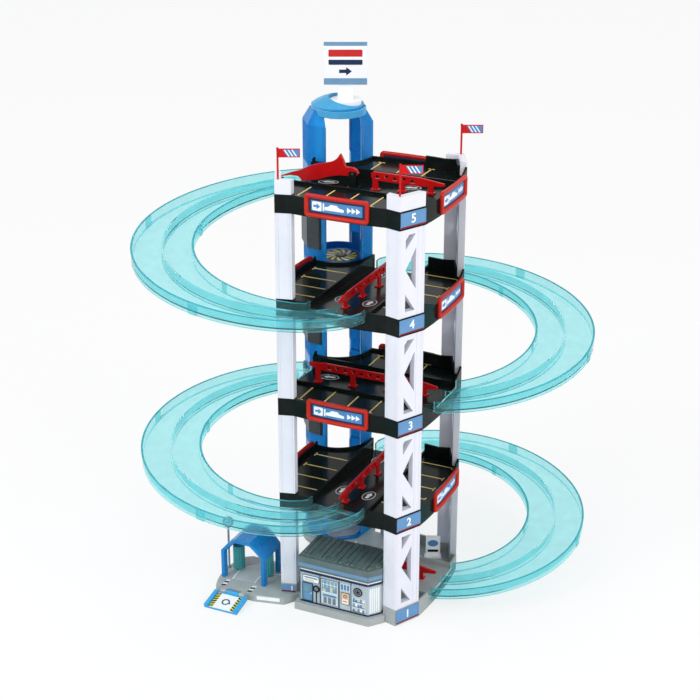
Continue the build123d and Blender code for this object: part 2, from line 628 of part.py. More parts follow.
def lift_turntable():
    """Round turntable let into the platform's ring."""
    z0 = underside(REST_LEVEL)
    disc = post(HEAD_X, HEAD_Y, TURNTABLE_RADIUS, z0 + PLATFORM_TOP + FIT, z0 + TURNTABLE_TOP)
    return disc + post(HEAD_X, HEAD_Y, SPINDLE_RADIUS, z0 + PLATFORM_BOTTOM, z0 + PLATFORM_TOP + 1)


def guide_panel(level):
    """Dark panel on the outside of the outer post of one storey."""
    z0, z1 = underside(level) + GUIDE_LOW, underside(level + 1) - 8
    shell = tube(SHAFT_RADIUS + GUIDE_THICK, GUIDE_THICK, z0, z1)
    side = Pos(0, -100, 0) * Box(2 * GUIDE_HALF, 200, z1 - z0)
    return shell & (Pos(LIFT_X, LIFT_Y, (z0 + z1) / 2) * (Rot(0, 0, SHAFT_TURN) * side))


# ================================================================ rails, gate, signs
def rail_bar(start, end, level, legs, taper_start, taper_end):
    """Red guard rail along the middle of a channel, with a row of windows."""
    top, low = RAIL_TOP, RAIL_TOP - RAIL_HEIGHT
    thin = RAIL_HEIGHT * 0.35
    points = [(start, low + thin), (start, top - thin / 2), (start + taper_start, top),
              (end - taper_end, top), (end, top - thin), (end, low + thin), (end - taper_end, low),
              (start + taper_start, low)]
    body = upright(points, -RAIL_THICK / 2, RAIL_THICK / 2)
    for along in legs:
        foot = floor_at(along, level)
        body += upright([(along - RAIL_FOOT / 2, foot - 1), (along + RAIL_FOOT / 2, foot - 1),
                         (along + RAIL_FOOT / 2, low + 2), (along - RAIL_FOOT / 2, low + 2)],
                        -RAIL_THICK / 2, RAIL_THICK / 2)
        body += Pos(along, 0, foot + 0.5) * Box(RAIL_FOOT + 4, 3 * RAIL_THICK, 3.0)
    first, last, pitch = start + taper_start + 6, end - taper_end - 6, 13.0
    count = int((last - first) / pitch)
    for index in range(count + 1):
        x = first + index * pitch
        middle = (top + low) / 2
        body -= upright([(x - 4.2, low + 3), (x + 4.2, low + 3), (x, top - 3)] if index % 2 == 0 else
                        [(x - 4.2, top - 3), (x + 4.2, top - 3), (x, low + 3)], -RAIL_THICK, RAIL_THICK)
    return body & channel_prism(level, 0.0, None, CHANNEL_HALF, 200.0)


def guard_rail(level):
    if level == LEVELS:
        body = rail_bar(0, 108, level, (6, 46, 88), 3, 34)
    elif level == 1:
        body = rail_bar(16, 108, level, (30, 84), 3, 30)
    else:
        body = rail_bar(-98, 104, level, (-84, -28, 28, 84), 26, 26)
    return Pos(0, 0, underside(level)) * turned(body, level)


def start_gate():
    """Fin-shaped starting lever over the top deck's exit and the loop's middle wall."""
    z0 = underside(LEVELS)
    crest = Spline((-143, 14.2), (-134, 17.5), (-126, 21), (-110, 27), (-94, 35), (-75, 41),
                   (-60, 45.5), (-47, 58))
    back = Polyline((-47, 58), (-42, 49), (-39, 40.5), (-28, 40.5), (-22, 38), (-19.5, 33), (-23, 28.5),
                    (-48, 27.5), (-63, 24), (-82, 17), (-105, 12), (-112, 18), (-124, 18), (-134, 15.6),
                    (-143, 13), (-143, 14.2))
    face = make_face([*crest.edges(), *back.edges()])
    plane = Plane((0, GATE_HALF, z0), x_dir=(1, 0, 0), z_dir=(0, -1, 0))
    fin = extrude(plane * face, amount=2 * GATE_HALF)
    hole = Pos(GATE_PIN_X, 0, z0 + GATE_PIN_Z) * (Rot(90, 0, 0) * Cylinder(GATE_PIN_RADIUS + RUNNING, 30))
    return fin - hole


def gate_bracket():
    """Foot and two upright ears that carry the lever's pin."""
    z0 = underside(LEVELS)
    foot = floor_at(GATE_PIN_X, LEVELS)
    body = block(GATE_PIN_X - 8, GATE_PIN_X + 8, -8, 8, foot - 2, foot + 2.5)
    for side in (-1, 1):
        y = side * (GATE_HALF + FIT + EAR_THICK / 2)
        near, far = y - EAR_THICK / 2, y + EAR_THICK / 2
        body += block(GATE_PIN_X - 5, GATE_PIN_X + 5, near, far, foot, GATE_PIN_Z + 4)
    body = Pos(0, 0, z0) * (body & channel_prism(LEVELS, 0.0, None, CHANNEL_HALF, 200.0))
    return body - Pos(GATE_PIN_X, 0, z0 + GATE_PIN_Z) * (Rot(90, 0, 0) * Cylinder(GATE_PIN_RADIUS, 30))


def gate_pin():
    z0 = underside(LEVELS)
    length = 2 * (GATE_HALF + FIT + EAR_THICK)
    return Pos(GATE_PIN_X, 0, z0 + GATE_PIN_Z) * (Rot(90, 0, 0) * Cylinder(GATE_PIN_RADIUS, length))


FACES = {"front": (0, -1, 0.0), "back": (0, 1, 10.0), "right": (1, 0, 12.0), "left": (-1, 0, 0.0)}
FRAMES = {5: ("front", "right", "back"), 4: ("left", "right"), 3: ("front", "back"), 2: ("left", "right")}


def face_window(side, half, low, high, level):
    """The box that cuts a centred rectangle out of one face of a deck."""
    dx, dy, shift = FACES[side]
    z0 = underside(level)
    if dy:
        ys = sorted((dy * 60, dy * 200))
        return block(shift - half, shift + half, ys[0], ys[1], z0 + low, z0 + high)
    xs = sorted((dx * 60, dx * 200))
    return block(xs[0], xs[1], shift - half, shift + half, z0 + low, z0 + high)


def sign_frame(side, level):
    """Red frame that hugs the curved face of a deck."""
    z0 = underside(level)
    shell = prism(deck_face(FRAME_DEPTH), z0 + FRAME_LOW, z0 + FRAME_HIGH)
    shell -= prism(deck_face(0.0), z0, z0 + STOREY)
    body = shell & face_window(side, FRAME_HALF, FRAME_LOW, FRAME_HIGH, level)
    low, high = FRAME_LOW + FRAME_BORDER, FRAME_HIGH - FRAME_BORDER
    inner = face_window(side, FRAME_HALF - FRAME_BORDER, low, high, level)
    seat = prism(deck_face(FRAME_DEPTH + 5), z0, z0 + STOREY)
    seat -= prism(deck_face(INSERT_THICK), z0, z0 + STOREY)
    return body - (inner & seat) - (inner & prism(deck_face(INSERT_THICK + 1), z0, z0 + STOREY))


def sign_insert(side, level):
    """Printed panel held by the frame."""
    z0 = underside(level)
    shell = prism(deck_face(INSERT_THICK), z0, z0 + STOREY) - prism(deck_face(0.0), z0 - 1, z0 + STOREY + 1)
    half = FRAME_HALF - FRAME_BORDER - 0.05
    low, high = FRAME_LOW + FRAME_BORDER + 0.05, FRAME_HIGH - FRAME_BORDER - 0.05
    return shell & face_window(side, half, low, high, level)


def number_plate(corner, level, on_side, low=PLATE_LOW):
    """Thin plate on a corner block's outer face."""
    sx, sy = CORNERS[corner]
    tip = (sx * VERTEX_X, sy * VERTEX_Y)
    end = (sx * SIDE_END_X, sy * SIDE_END_Y) if on_side else (sx * FRONT_END_X, sy * FRONT_END_Y)
    dx, dy = end[0] - tip[0], end[1] - tip[1]
    length = hypot(dx, dy)
    mx, my = (tip[0] + end[0]) / 2, (tip[1] + end[1]) / 2
    nx, ny = dy / length, -dx / length
    if nx * mx + ny * my < 0:
        nx, ny = -nx, -ny
    height = PLATE_LOW + PLATE_HEIGHT - low
    plate = Box(length - 2.0, PLATE_THICK, height)
    z = underside(level) + low + height / 2
    yaw = degrees(atan2(dy, dx))
    return Pos(mx + nx * PLATE_THICK / 2, my + ny * PLATE_THICK / 2, z) * (Rot(0, 0, yaw) * plate)


# ================================================================ shop
def shop_walls():
    """Workshop walls, open at top and bottom."""
    z0, z1 = BASE_TOP, BASE_TOP + SHOP_HEIGHT
    return prism(shop_outline(), z0, z1) - prism(shop_outline(-SHOP_WALL), z0 - 1, z1 + 1)


def shop_roof():
    """Ribbed roof with a locating lip inside the walls."""
    z0 = BASE_TOP + SHOP_HEIGHT
    body = prism(shop_outline(ROOF_OVERHANG), z0, z0 + ROOF_HEIGHT - ROOF_RIB)
    body += prism(shop_outline(ROOF_OVERHANG - 3), z0 + ROOF_HEIGHT - ROOF_RIB - 1, z0 + ROOF_HEIGHT)
    body -= prism(shop_outline(-SHOP_WALL - 3), z0 - 1, z0 + ROOF_HEIGHT - ROOF_RIB - SHELL)
    lip = prism(shop_outline(-SHOP_WALL - 0.2), z0 - 4, z0 + 1)
    lip -= prism(shop_outline(-SHOP_WALL - 3), z0 - 5, z0 + 1)
    body += lip
    pitch = 9.0
    count = int((SHOP_RIGHT - SHOP_LEFT - 10) / pitch)
    for index in range(count + 1):
        x = SHOP_LEFT + 5 + index * pitch
        groove = z0 + ROOF_HEIGHT - ROOF_RIB + 1
        body -= block(x, x + 1.6, SHOP_FRONT - 10, SHOP_BACK + 10, groove, z0 + ROOF_HEIGHT + 1)
    return body


# ================================================================ car wash
def wash_arch():
    """Blue four-legged hood over the wash lane."""
    z0, z1 = BASE_TOP, BASE_TOP + WASH_HEIGHT
    shoulder = 22.0
    left, right = WASH_X - WASH_HALF, WASH_X + WASH_HALF

    def hood(shrink, y0, y1, low):
        bend = z1 - 8 - shrink / 2
        return upright([(left + shrink, low), (left + shrink, z1 - shoulder), (left + 12 + shrink, bend),
                        (left + 24, z1 - shrink), (right - 24, z1 - shrink), (right - 12 - shrink, bend),
                        (right - shrink, z1 - shoulder), (right - shrink, low)], y0, y1)

    body = hood(0, WASH_FRONT, WASH_BACK, z0) - hood(WASH_SHELL, WASH_FRONT - 1, WASH_BACK + 1, z0 - 1)
    near, far = WASH_FRONT + WASH_LEG, WASH_BACK - WASH_LEG
    return body - block(left - 5, right + 5, near, far, z0 - 1, z1 - shoulder - 4)


def wash_brush(side):
    """Upright brush roller with lengthwise flutes on a bearing pin."""
    x = WASH_X + side * BRUSH_X
    z0 = BASE_TOP + 2
    body = post(x, BRUSH_Y, BRUSH_RADIUS, z0, z0 + BRUSH_HEIGHT)
    flutes = 14
    for index in range(flutes):
        angle = 2 * pi * index / flutes
        body -= post(x + (BRUSH_RADIUS + 0.6) * cos(angle), BRUSH_Y + (BRUSH_RADIUS + 0.6) * sin(angle),
                     1.5, z0 - 1, z0 + BRUSH_HEIGHT + 1)
    return body + post(x, BRUSH_Y, BRUSH_CORE, 3.5, z0 + 1) + post(x, BRUSH_Y, 6.0, z0 - 2 + FIT, z0 + 0.5)


def wash_ramp():
    """Hinged drive-down ramp with two raised side rims."""
    drop = degrees(asin((RAMP_HINGE_Z - RAMP_UNDER - FIT) / RAMP_LENGTH))
    plate = block(-RAMP_HALF, RAMP_HALF, -RAMP_LENGTH, -5.0, -RAMP_UNDER, 1.4)
    for side in (-1, 1):
        xs = sorted((side * RAMP_HALF, side * (RAMP_HALF - 6)))
        plate += block(xs[0], xs[1], -RAMP_LENGTH, -5.0, -RAMP_UNDER, 5.0)
    barrel = Rot(0, 90, 0) * Cylinder(3.4, 2 * (RAMP_HALF - 16) - 2 * FIT - 0.4)
    plate += barrel
    plate += block(-RAMP_HALF + 17, RAMP_HALF - 17, -6.0, 0.0, -RAMP_UNDER, 1.4)
    plate -= Rot(0, 90, 0) * Cylinder(RAMP_PIN + RUNNING, 80)
    return Pos(WASH_X, RAMP_HINGE_Y, RAMP_HINGE_Z) * (Rot(drop, 0, 0) * plate)


def ramp_pin():
    length = 2 * (RAMP_HALF - 7.5)
    return Pos(WASH_X, RAMP_HINGE_Y, RAMP_HINGE_Z) * (Rot(0, 90, 0) * Cylinder(RAMP_PIN, length))


def ring_sign():
    """Round sign on a thin post beside the wash."""
    x, y = -195.0, -85.0
    height = 73.0
    body = post(x, y, 1.6, BASE_TOP, BASE_TOP + height)
    disc = Pos(0, 0, BASE_TOP + height + 5) * (Rot(90, 0, 0) * Cylinder(8.0, 3.0))
    return body + post(x, y, 2.8, BASE_TOP, BASE_TOP + 2) + Pos(x, y, 0) * (Rot(0, 0, SIGN_YAW) * disc)


def price_stand():
    """Small white board at the back of the base."""
    board = Pos(0, 0, BASE_TOP + 19) * Box(22, 3, 34) + Pos(0, 0, BASE_TOP + 1.5) * Box(26, 12, 3)
    return Pos(72.0, 76.0, 0) * (Rot(0, 0, SIGN_YAW) * board)


# ================================================================ write everything
def main():
    save("base_plate", base_plate())
    for level in range(2, LEVELS + 1):
        save(f"deck_{level}", deck(level))
    for level in range(1, LEVELS):
        for corner in CORNERS:
            save(f"column_{corner}_{level}", column(corner, level))
    for corner in CORNERS:
        save(f"corner_cap_{corner}", corner_cap(corner))
    save("flags", *[flag(corner) for corner in CORNERS])

    save("loop_left_upper", left_loop(5))
    save("loop_left_lower", left_loop(3))
    save("loop_right_upper", right_loop(4))
    save("loop_right_lower", right_loop(2))

    for level in range(1, LEVELS):
        save(f"lift_shaft_{level}", shaft_section(level))
    save("lift_shaft_top", shaft_head())
    save("lift_cap", lift_cap())
    save("lift_guide_panels", *[guide_panel(level) for level in range(1, LEVELS)])
    save("lift_carriage", lift_carriage())
    save("lift_turntable", lift_turntable())
    save("sign_base", sign_base())
    save("roof_sign", roof_sign())

    for level in range(1, LEVELS + 1):
        save(f"guard_rail_{level}", guard_rail(level))
    save("start_gate", start_gate())
    save("gate_bracket", gate_bracket())
    save("gate_pin", gate_pin())
    for level, sides in FRAMES.items():
        save(f"sign_frames_{level}", *[sign_frame(side, level) for side in sides])
    save("sign_inserts", *[sign_insert(side, level) for level, sides in FRAMES.items() for side in sides])
    plates = [number_plate("front", level, True) for level in range(1, LEVELS + 1)]
    save("number_plates", *plates, number_plate("left", 1, False, BASE_TOP + 1.0))

    save("shop_walls", shop_walls())
    save("shop_roof", shop_roof())
    save("wash_arch", wash_arch())
    save("wash_brush_left", wash_brush(-1))
    save("wash_brush_right", wash_brush(1))
    save("wash_ramp", wash_ramp())
    save("ramp_pin", ramp_pin())
    save("ring_sign", ring_sign())
    save("price_stand", price_stand())


main()
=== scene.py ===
"""Toy parking garage with lift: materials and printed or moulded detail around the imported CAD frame."""
from functools import partial
from math import cos, pi, radians, sin, sqrt

import bpy
import bmesh
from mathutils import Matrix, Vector


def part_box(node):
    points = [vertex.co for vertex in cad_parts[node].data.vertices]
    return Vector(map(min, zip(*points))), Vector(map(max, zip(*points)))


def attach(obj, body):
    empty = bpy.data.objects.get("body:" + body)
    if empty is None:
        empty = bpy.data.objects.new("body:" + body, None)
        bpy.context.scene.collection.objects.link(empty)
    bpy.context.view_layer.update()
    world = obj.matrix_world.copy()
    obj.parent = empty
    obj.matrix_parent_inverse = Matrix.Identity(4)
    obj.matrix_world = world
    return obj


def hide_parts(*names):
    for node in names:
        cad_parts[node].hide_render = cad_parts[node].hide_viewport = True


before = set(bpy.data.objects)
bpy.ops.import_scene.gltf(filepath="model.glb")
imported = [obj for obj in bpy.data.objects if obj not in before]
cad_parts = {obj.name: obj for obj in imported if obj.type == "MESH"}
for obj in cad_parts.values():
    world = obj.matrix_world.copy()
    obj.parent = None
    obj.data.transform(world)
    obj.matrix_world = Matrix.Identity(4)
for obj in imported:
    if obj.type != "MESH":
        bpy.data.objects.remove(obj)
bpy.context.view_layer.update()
MM = 0.001
UP = Vector((0, 0, 1))
SINK = 0.05  # mm that a print starts under its surface

# ---------------------------------------------------------------- sizes, as in the CAD model (mm)
STOREY = 150.0
LEVELS = 5
RIM = 26.0
BAY = 22.0
VERTEX = (92.0, 113.0)
FRONT_END = (70.0, 107.0)
SIDE_END = (112.0, 73.0)
FRONT_FACE = 111.0
SIDE_FACE = 116.0
FLOOR_IN, FLOOR_OUT = 20.0, 5.0
LANE = 21.0
BASE_TOP = 12.0
LIFT = (-101.0, 104.0)
HEAD_OFFSET = 13.0
HEAD = (LIFT[0] + HEAD_OFFSET / sqrt(2), LIFT[1] - HEAD_OFFSET / sqrt(2))
HEAD_R = 36.0
SHAFT_TURN = -53.0
SHAFT_R = 52.0
GAP = 26.0
LOOP_R = 122.0
LOOP_PITCH = 41.0
SIGN_YAW = 25.0
SIGN_ALONG = Vector((cos(radians(SIGN_YAW)), sin(radians(SIGN_YAW)), 0))
SIGN_OUT = Vector((sin(radians(SIGN_YAW)), -cos(radians(SIGN_YAW)), 0))
CAP_HEIGHT = 20.0
POLE_HEIGHT = 42.0
WASH_X = -156.0
RAMP_HINGE = (-156.0, -145.0, 9.0)
RAMP_DROP = 10.81
RAMP_FACE = 1.35
BOARD_FACE = 1.45
CORNERS = {"front": (1, -1), "left": (-1, -1), "right": (1, 1)}
FRAMES = {5: ("front", "right", "back"), 4: ("left", "right"), 3: ("front", "back"), 2: ("left", "right")}
FRAME_SHIFT = {"front": 0.0, "back": -10.0, "right": 12.0, "left": 0.0}  # along the face, seen from outside

# ---------------------------------------------------------------- light and camera (m, degrees, W)
FLOOR_GLOW = 0.74
WORLD_STRENGTH = 0.86
LIGHT_TARGET = (0, 0, 0.35)
CAMERA_PLACE = (0.9137, -2.018, 1.3119)
CAMERA_HEADING = (-0.4246, 0.9054, 0)
CAMERA_PITCH = 22.976
CAMERA_LENS = 86.4


def underside(level):
    return (level - 1) * STOREY


# ================================================================ materials
def node(tree, kind, **values):
    made = tree.nodes.new(kind)
    for key, value in values.items():
        if key.startswith("in_"):
            made.inputs[key[3:].replace("_", " ")].default_value = value
        else:
            setattr(made, key, value)
    return made


def plastic(name, color, rough=0.28, vary=0.06, grain=0.10, edge=0.0006, specular=0.25, transmission=0.0,
            ior=1.46, mottling=70.0, metallic=0.0):
    """Moulded plastic: faint mottling, uneven gloss, fine grain and softened edges."""
    mat = bpy.data.materials.new(name)
    mat.use_nodes = True
    tree = mat.node_tree
    tree.nodes.clear()
    out = node(tree, "ShaderNodeOutputMaterial")
    bsdf = node(tree, "ShaderNodeBsdfPrincipled")
    tree.links.new(bsdf.outputs[0], out.inputs["Surface"])
    bsdf.inputs["Metallic"].default_value = metallic
    bsdf.inputs["IOR"].default_value = ior
    bsdf.inputs["Specular IOR Level"].default_value = specular
    bsdf.inputs["Transmission Weight"].default_value = transmission
    coord = node(tree, "ShaderNodeTexCoord")
    noise = node(tree, "ShaderNodeTexNoise", in_Scale=mottling, in_Detail=3.0)
    tree.links.new(coord.outputs["Object"], noise.inputs["Vector"])
    ramp = node(tree, "ShaderNodeValToRGB")
    dark = [c * (1 - vary) for c in color]
    light = [min(c * (1 + vary), 1.0) for c in color]
    ramp.color_ramp.elements[0].position = 0.3
    ramp.color_ramp.elements[1].position = 0.7
    ramp.color_ramp.elements[0].color = (*dark, 1)
    ramp.color_ramp.elements[1].color = (*light, 1)
    tree.links.new(noise.outputs["Fac"], ramp.inputs["Fac"])
    tree.links.new(ramp.outputs["Color"], bsdf.inputs["Base Color"])
    gloss = node(tree, "ShaderNodeTexNoise", in_Scale=mottling * 2.7, in_Detail=2.0)
    tree.links.new(coord.outputs["Object"], gloss.inputs["Vector"])
    spread = node(tree, "ShaderNodeMapRange")
    spread.inputs["To Min"].default_value = max(rough - 0.06, 0.02)
    spread.inputs["To Max"].default_value = rough + 0.08
    tree.links.new(gloss.outputs["Fac"], spread.inputs["Value"])
    tree.links.new(spread.outputs["Result"], bsdf.inputs["Roughness"])
    fine = node(tree, "ShaderNodeTexNoise", in_Scale=900.0, in_Detail=2.0)
    tree.links.new(coord.outputs["Object"], fine.inputs["Vector"])
    bump = node(tree, "ShaderNodeBump", in_Strength=grain, in_Distance=0.0004)
    tree.links.new(fine.outputs["Fac"], bump.inputs["Height"])
    if edge:
        bevel = node(tree, "ShaderNodeBevel", samples=4, in_Radius=edge)
        tree.links.new(bevel.outputs["Normal"], bump.inputs["Normal"])
    tree.links.new(bump.outputs["Normal"], bsdf.inputs["Normal"])
    return mat


MATERIALS = {
    "deck": plastic("deck_black_plastic", (0.007, 0.011, 0.010), rough=0.15, vary=0.25, specular=0.3,
                    ior=1.22),
    "base": plastic("base_grey_plastic", (0.40, 0.42, 0.415), rough=0.42, grain=0.16),
    "column": plastic("column_white_plastic", (0.765, 0.77, 0.845), rough=0.22, vary=0.015, grain=0.05),
    "loop": plastic("loop_turquoise_plastic", (0.46, 0.86, 0.89), rough=0.05, vary=0.03, grain=0.02,
                    transmission=0.95, ior=1.14, edge=0.0004, specular=0.4),
    "loop_edge": plastic("loop_turquoise_rims", (0.085, 0.58, 0.66), rough=0.10, vary=0.04, grain=0.02,
                         transmission=0.55, ior=1.2, edge=0),
    "lift": plastic("lift_blue_plastic", (0.020, 0.33, 0.80), rough=0.14, vary=0.08, transmission=0.45,
                    ior=1.2, specular=0.3),
    "lift_solid": plastic("lift_blue_solid_plastic", (0.014, 0.22, 0.56), rough=0.25, vary=0.08),
    "cap": plastic("cap_pale_blue_plastic", (0.10, 0.50, 0.86), rough=0.12, vary=0.05, transmission=0.30,
                   ior=1.2, specular=0.4),
    "guide": plastic("guide_grey_plastic", (0.055, 0.062, 0.068), rough=0.38, vary=0.12),
    "black": plastic("print_black", (0.010, 0.011, 0.013), rough=0.35, vary=0.2, edge=0, specular=0.15),
    "white": plastic("sign_white_plastic", (0.88, 0.885, 0.90), rough=0.30, vary=0.02, grain=0.05),
    "print_white": plastic("print_white", (0.90, 0.905, 0.915), rough=0.38, vary=0.02, edge=0),
    "red": plastic("rail_red_plastic", (0.54, 0.008, 0.009), rough=0.20, vary=0.08, ior=1.38),
    "frame": plastic("frame_orange_red_plastic", (0.50, 0.020, 0.012), rough=0.20, vary=0.07, ior=1.35),
    "steel": plastic("pin_steel", (0.60, 0.60, 0.62), rough=0.22, vary=0.05, metallic=1.0),
    "navy": plastic("print_navy", (0.010, 0.026, 0.075), rough=0.30, vary=0.1),
    "blue_print": plastic("print_blue", (0.075, 0.235, 0.50), rough=0.34, vary=0.05, edge=0),
    "plate": plastic("plate_blue_print", (0.125, 0.29, 0.53), rough=0.34, vary=0.05),
    "slate": plastic("sign_slate_blue_print", (0.155, 0.30, 0.46), rough=0.36, vary=0.04, edge=0),
    "print_red": plastic("print_red", (0.55, 0.02, 0.02), rough=0.34, vary=0.05, edge=0),
    "dark_red": plastic("print_dark_red", (0.22, 0.010, 0.012), rough=0.34, vary=0.05, edge=0),
    "yellow": plastic("line_yellow_print", (0.86, 0.62, 0.20), rough=0.40, vary=0.06, edge=0),
    "hazard": plastic("hazard_yellow_print", (0.84, 0.70, 0.10), rough=0.36, vary=0.06, edge=0),
    "shop": plastic("shop_wall_print", (0.46, 0.53, 0.58), rough=0.36, vary=0.12, mottling=28.0),
    "pastel": plastic("shop_pastel_print", (0.62, 0.71, 0.74), rough=0.36, vary=0.10, mottling=40.0, edge=0),
    "glass": plastic("shop_window_print", (0.20, 0.36, 0.46), rough=0.14, vary=0.35, mottling=30.0, edge=0),
    "door": plastic("shop_door_print", (0.09, 0.26, 0.46), rough=0.32, vary=0.08, edge=0),
    "cream": plastic("shop_cream_print", (0.72, 0.58, 0.36), rough=0.4, vary=0.1, edge=0),
    "roof": plastic("roof_green_grey_plastic", (0.125, 0.17, 0.17), rough=0.30, vary=0.10),
    "brush": plastic("brush_teal_plastic", (0.07, 0.38, 0.38), rough=0.45, vary=0.12, grain=0.3),
    "ramp": plastic("ramp_blue_plastic", (0.045, 0.38, 0.72), rough=0.24, vary=0.05),
    "road": plastic("road_light_grey_print", (0.50, 0.52, 0.515), rough=0.45, vary=0.05, grain=0.2),
    "chrome": plastic("ring_grey_plastic", (0.24, 0.27, 0.32), rough=0.18, vary=0.05, specular=0.5),
}

NODE_MATERIALS = {
    "deck": ["deck_2", "deck_3", "deck_4", "deck_5", "gate_bracket"],
    "base": ["base_plate"],
    "column": [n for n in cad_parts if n.startswith(("column_", "corner_cap_"))],
    "loop": [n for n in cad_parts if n.startswith("loop_")],
    "lift": [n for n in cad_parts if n.startswith("lift_shaft_")],
    "lift_solid": ["lift_carriage", "wash_arch"],
    "cap": ["lift_cap"],
    "guide": ["lift_guide_panels"],
    "black": ["lift_turntable"],
    "white": ["sign_base", "roof_sign", "price_stand"],
    "red": [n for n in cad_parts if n.startswith("guard_rail_")] + ["start_gate", "flags"],
    "frame": [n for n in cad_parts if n.startswith("sign_frames_")],
    "steel": ["gate_pin", "ramp_pin"],
    "navy": ["sign_inserts"],
    "plate": ["number_plates"],
    "shop": ["shop_walls"],
    "roof": ["shop_roof"],
    "brush": ["wash_brush_left", "wash_brush_right"],
    "ramp": ["wash_ramp"],
    "chrome": ["ring_sign"],
}
for key, names in NODE_MATERIALS.items():
    for name in names:
        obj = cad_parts[name]
        obj.data.materials.clear()
        obj.data.materials.append(MATERIALS[key])


# ================================================================ mesh tools
class Kit:
    """Collects slabs and strips, given in millimetres, into one mesh piece."""

    def __init__(self):
        self.verts = []
        self.faces = []

    def slab(self, outline, thick):
        """A closed outline of 3-D points, seen from above, given a thickness vector."""
        n, base = len(outline), len(self.verts)
        thick = Vector(thick)
        self.verts += [Vector(p) for p in outline] + [Vector(p) + thick for p in outline]
        self.faces.append(tuple(range(base + n - 1, base - 1, -1)))
        self.faces.append(tuple(range(base + n, base + 2 * n)))
        for i in range(n):
            j = (i + 1) % n
            self.faces.append((base + i, base + j, base + n + j, base + n + i))

    def tube(self, loops, closed=True):
        """Skins a list of equal point loops; closed joins the last to the first, else it is capped."""
        n, base = len(loops[0]), len(self.verts)
        for loop in loops:
            self.verts += [Vector(p) for p in loop]
        count = len(loops)
        for a in range(count if closed else count - 1):
            b = (a + 1) % count
            for i in range(n):
                j = (i + 1) % n
                self.faces.append((base + a * n + i, base + a * n + j, base + b * n + j, base + b * n + i))
        if not closed:
            self.faces.append(tuple(range(base + n - 1, base - 1, -1)))
            last = base + (count - 1) * n
            self.faces.append(tuple(range(last, last + n)))

    def build(self, name, material, body, slot, smooth=False):
        mesh = bpy.data.meshes.new(name)
        mesh.from_pydata([v * MM for v in self.verts], [], self.faces)
        fix = bmesh.new()
        fix.from_mesh(mesh)
        bmesh.ops.recalc_face_normals(fix, faces=fix.faces)
        fix.to_mesh(mesh)
        fix.free()
        mesh.materials.append(MATERIALS[material])
        if smooth:
            mesh.shade_smooth()
        obj = bpy.data.objects.new(name, mesh)
        bpy.context.scene.collection.objects.link(obj)
        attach(obj, body)
        return obj


def angles(count):
    return [2 * pi * i / count for i in range(count)]


def rounded(half_w, half_h, radius, steps=5):
    """Rounded rectangle about the origin, counter-clockwise."""
    points = []
    radius = max(min(radius, half_w, half_h), 0.01)
    for k, (sx, sy) in enumerate(((1, -1), (1, 1), (-1, 1), (-1, -1))):
        for i in range(steps + 1):
            a = radians(-90 + 90 * k + 90 * i / steps)
            points.append((sx * (half_w - radius) + radius * cos(a),
                           sy * (half_h - radius) + radius * sin(a)))
    return points


def ellipse(rx, ry, count=28):
    return [(rx * cos(a), ry * sin(a)) for a in angles(count)]


def arrow(length, width, head, shaft):
    """Arrow about the origin that points along +u."""
    h = length / 2
    return [(-h, -shaft / 2), (h - head, -shaft / 2), (h - head, -width / 2), (h, 0), (h - head, width / 2),
            (h - head, shaft / 2), (-h, shaft / 2)]


def floor_at(along, level):
    reach = SIDE_FACE if level % 2 else FRONT_FACE
    return underside(level) + FLOOR_OUT + (FLOOR_IN - FLOOR_OUT) * (along + reach) / (2 * reach)


def lane_point(level, along, across, lift=0.0):
    """A point over a channel's floor; along runs from the exit to the entry."""
    z = floor_at(along, level) + lift
    return Vector((along, across, z)) if level % 2 else Vector((across, -along, z))


def deck_point(level, along, across, lift=0.0):
    z = underside(level) + BAY + lift
    return Vector((along, across, z)) if level % 2 else Vector((across, -along, z))


FRONT_RADIUS = (FRONT_END[0] ** 2 + (FRONT_FACE - FRONT_END[1]) ** 2) / (2 * (FRONT_FACE - FRONT_END[1]))
SIDE_RADIUS = (SIDE_END[1] ** 2 + (SIDE_FACE - SIDE_END[0]) ** 2) / (2 * (SIDE_FACE - SIDE_END[0]))


def on_face(side, s, z, out):
    """A point on a deck's curved face: s runs to the right as seen from outside."""
    if side in ("front", "back"):
        turn = s / FRONT_RADIUS
        x = (FRONT_RADIUS + out) * sin(turn)
        y = FRONT_RADIUS - FRONT_FACE - (FRONT_RADIUS + out) * cos(turn)
        return Vector((x, y, z)) if side == "front" else Vector((-x, -y, z))
    turn = s / SIDE_RADIUS
    x = SIDE_FACE - SIDE_RADIUS + (SIDE_RADIUS + out) * cos(turn)
    y = (SIDE_RADIUS + out) * sin(turn)
    return Vector((x, y, z)) if side == "right" else Vector((-x, -y, z))


def corner_face(corner, on_side):
    """A corner block's outer face: middle, direction to the right, outward normal and both ends."""
    sx, sy = CORNERS[corner]
    far = SIDE_END if on_side else FRONT_END
    tip = Vector((sx * VERTEX[0], sy * VERTEX[1], 0))
    end = Vector((sx * far[0], sy * far[1], 0))
    along = (end - tip).normalized()
    normal = Vector((along.y, -along.x, 0))
    if normal.dot(tip + end) < 0:
        normal = -normal
    return (tip + end) / 2, UP.cross(normal), normal, tip, end


# ================================================================ parking bays and stickers
# level % 2: places along the channel on each side of it, then the lines' inner and outer ends across it
BAYS = {1: ((-67.0, -31.0, 5.0, 41.0), (-27.0, 12.0, 50.0), 52.0, 96.0),
        0: ((-28.0, 8.0, 42.0, 76.0), (-72.0, -33.0, 2.0, 36.0, 70.0), 50.0, 104.0)}
LINE_HALF = 1.0
CROSS_HALF = 5.0
STICKER_PLACES = (50.0, -76.0)
STICKER_HALF = (15.5, 9.0)
STICKER_RIM = 1.1


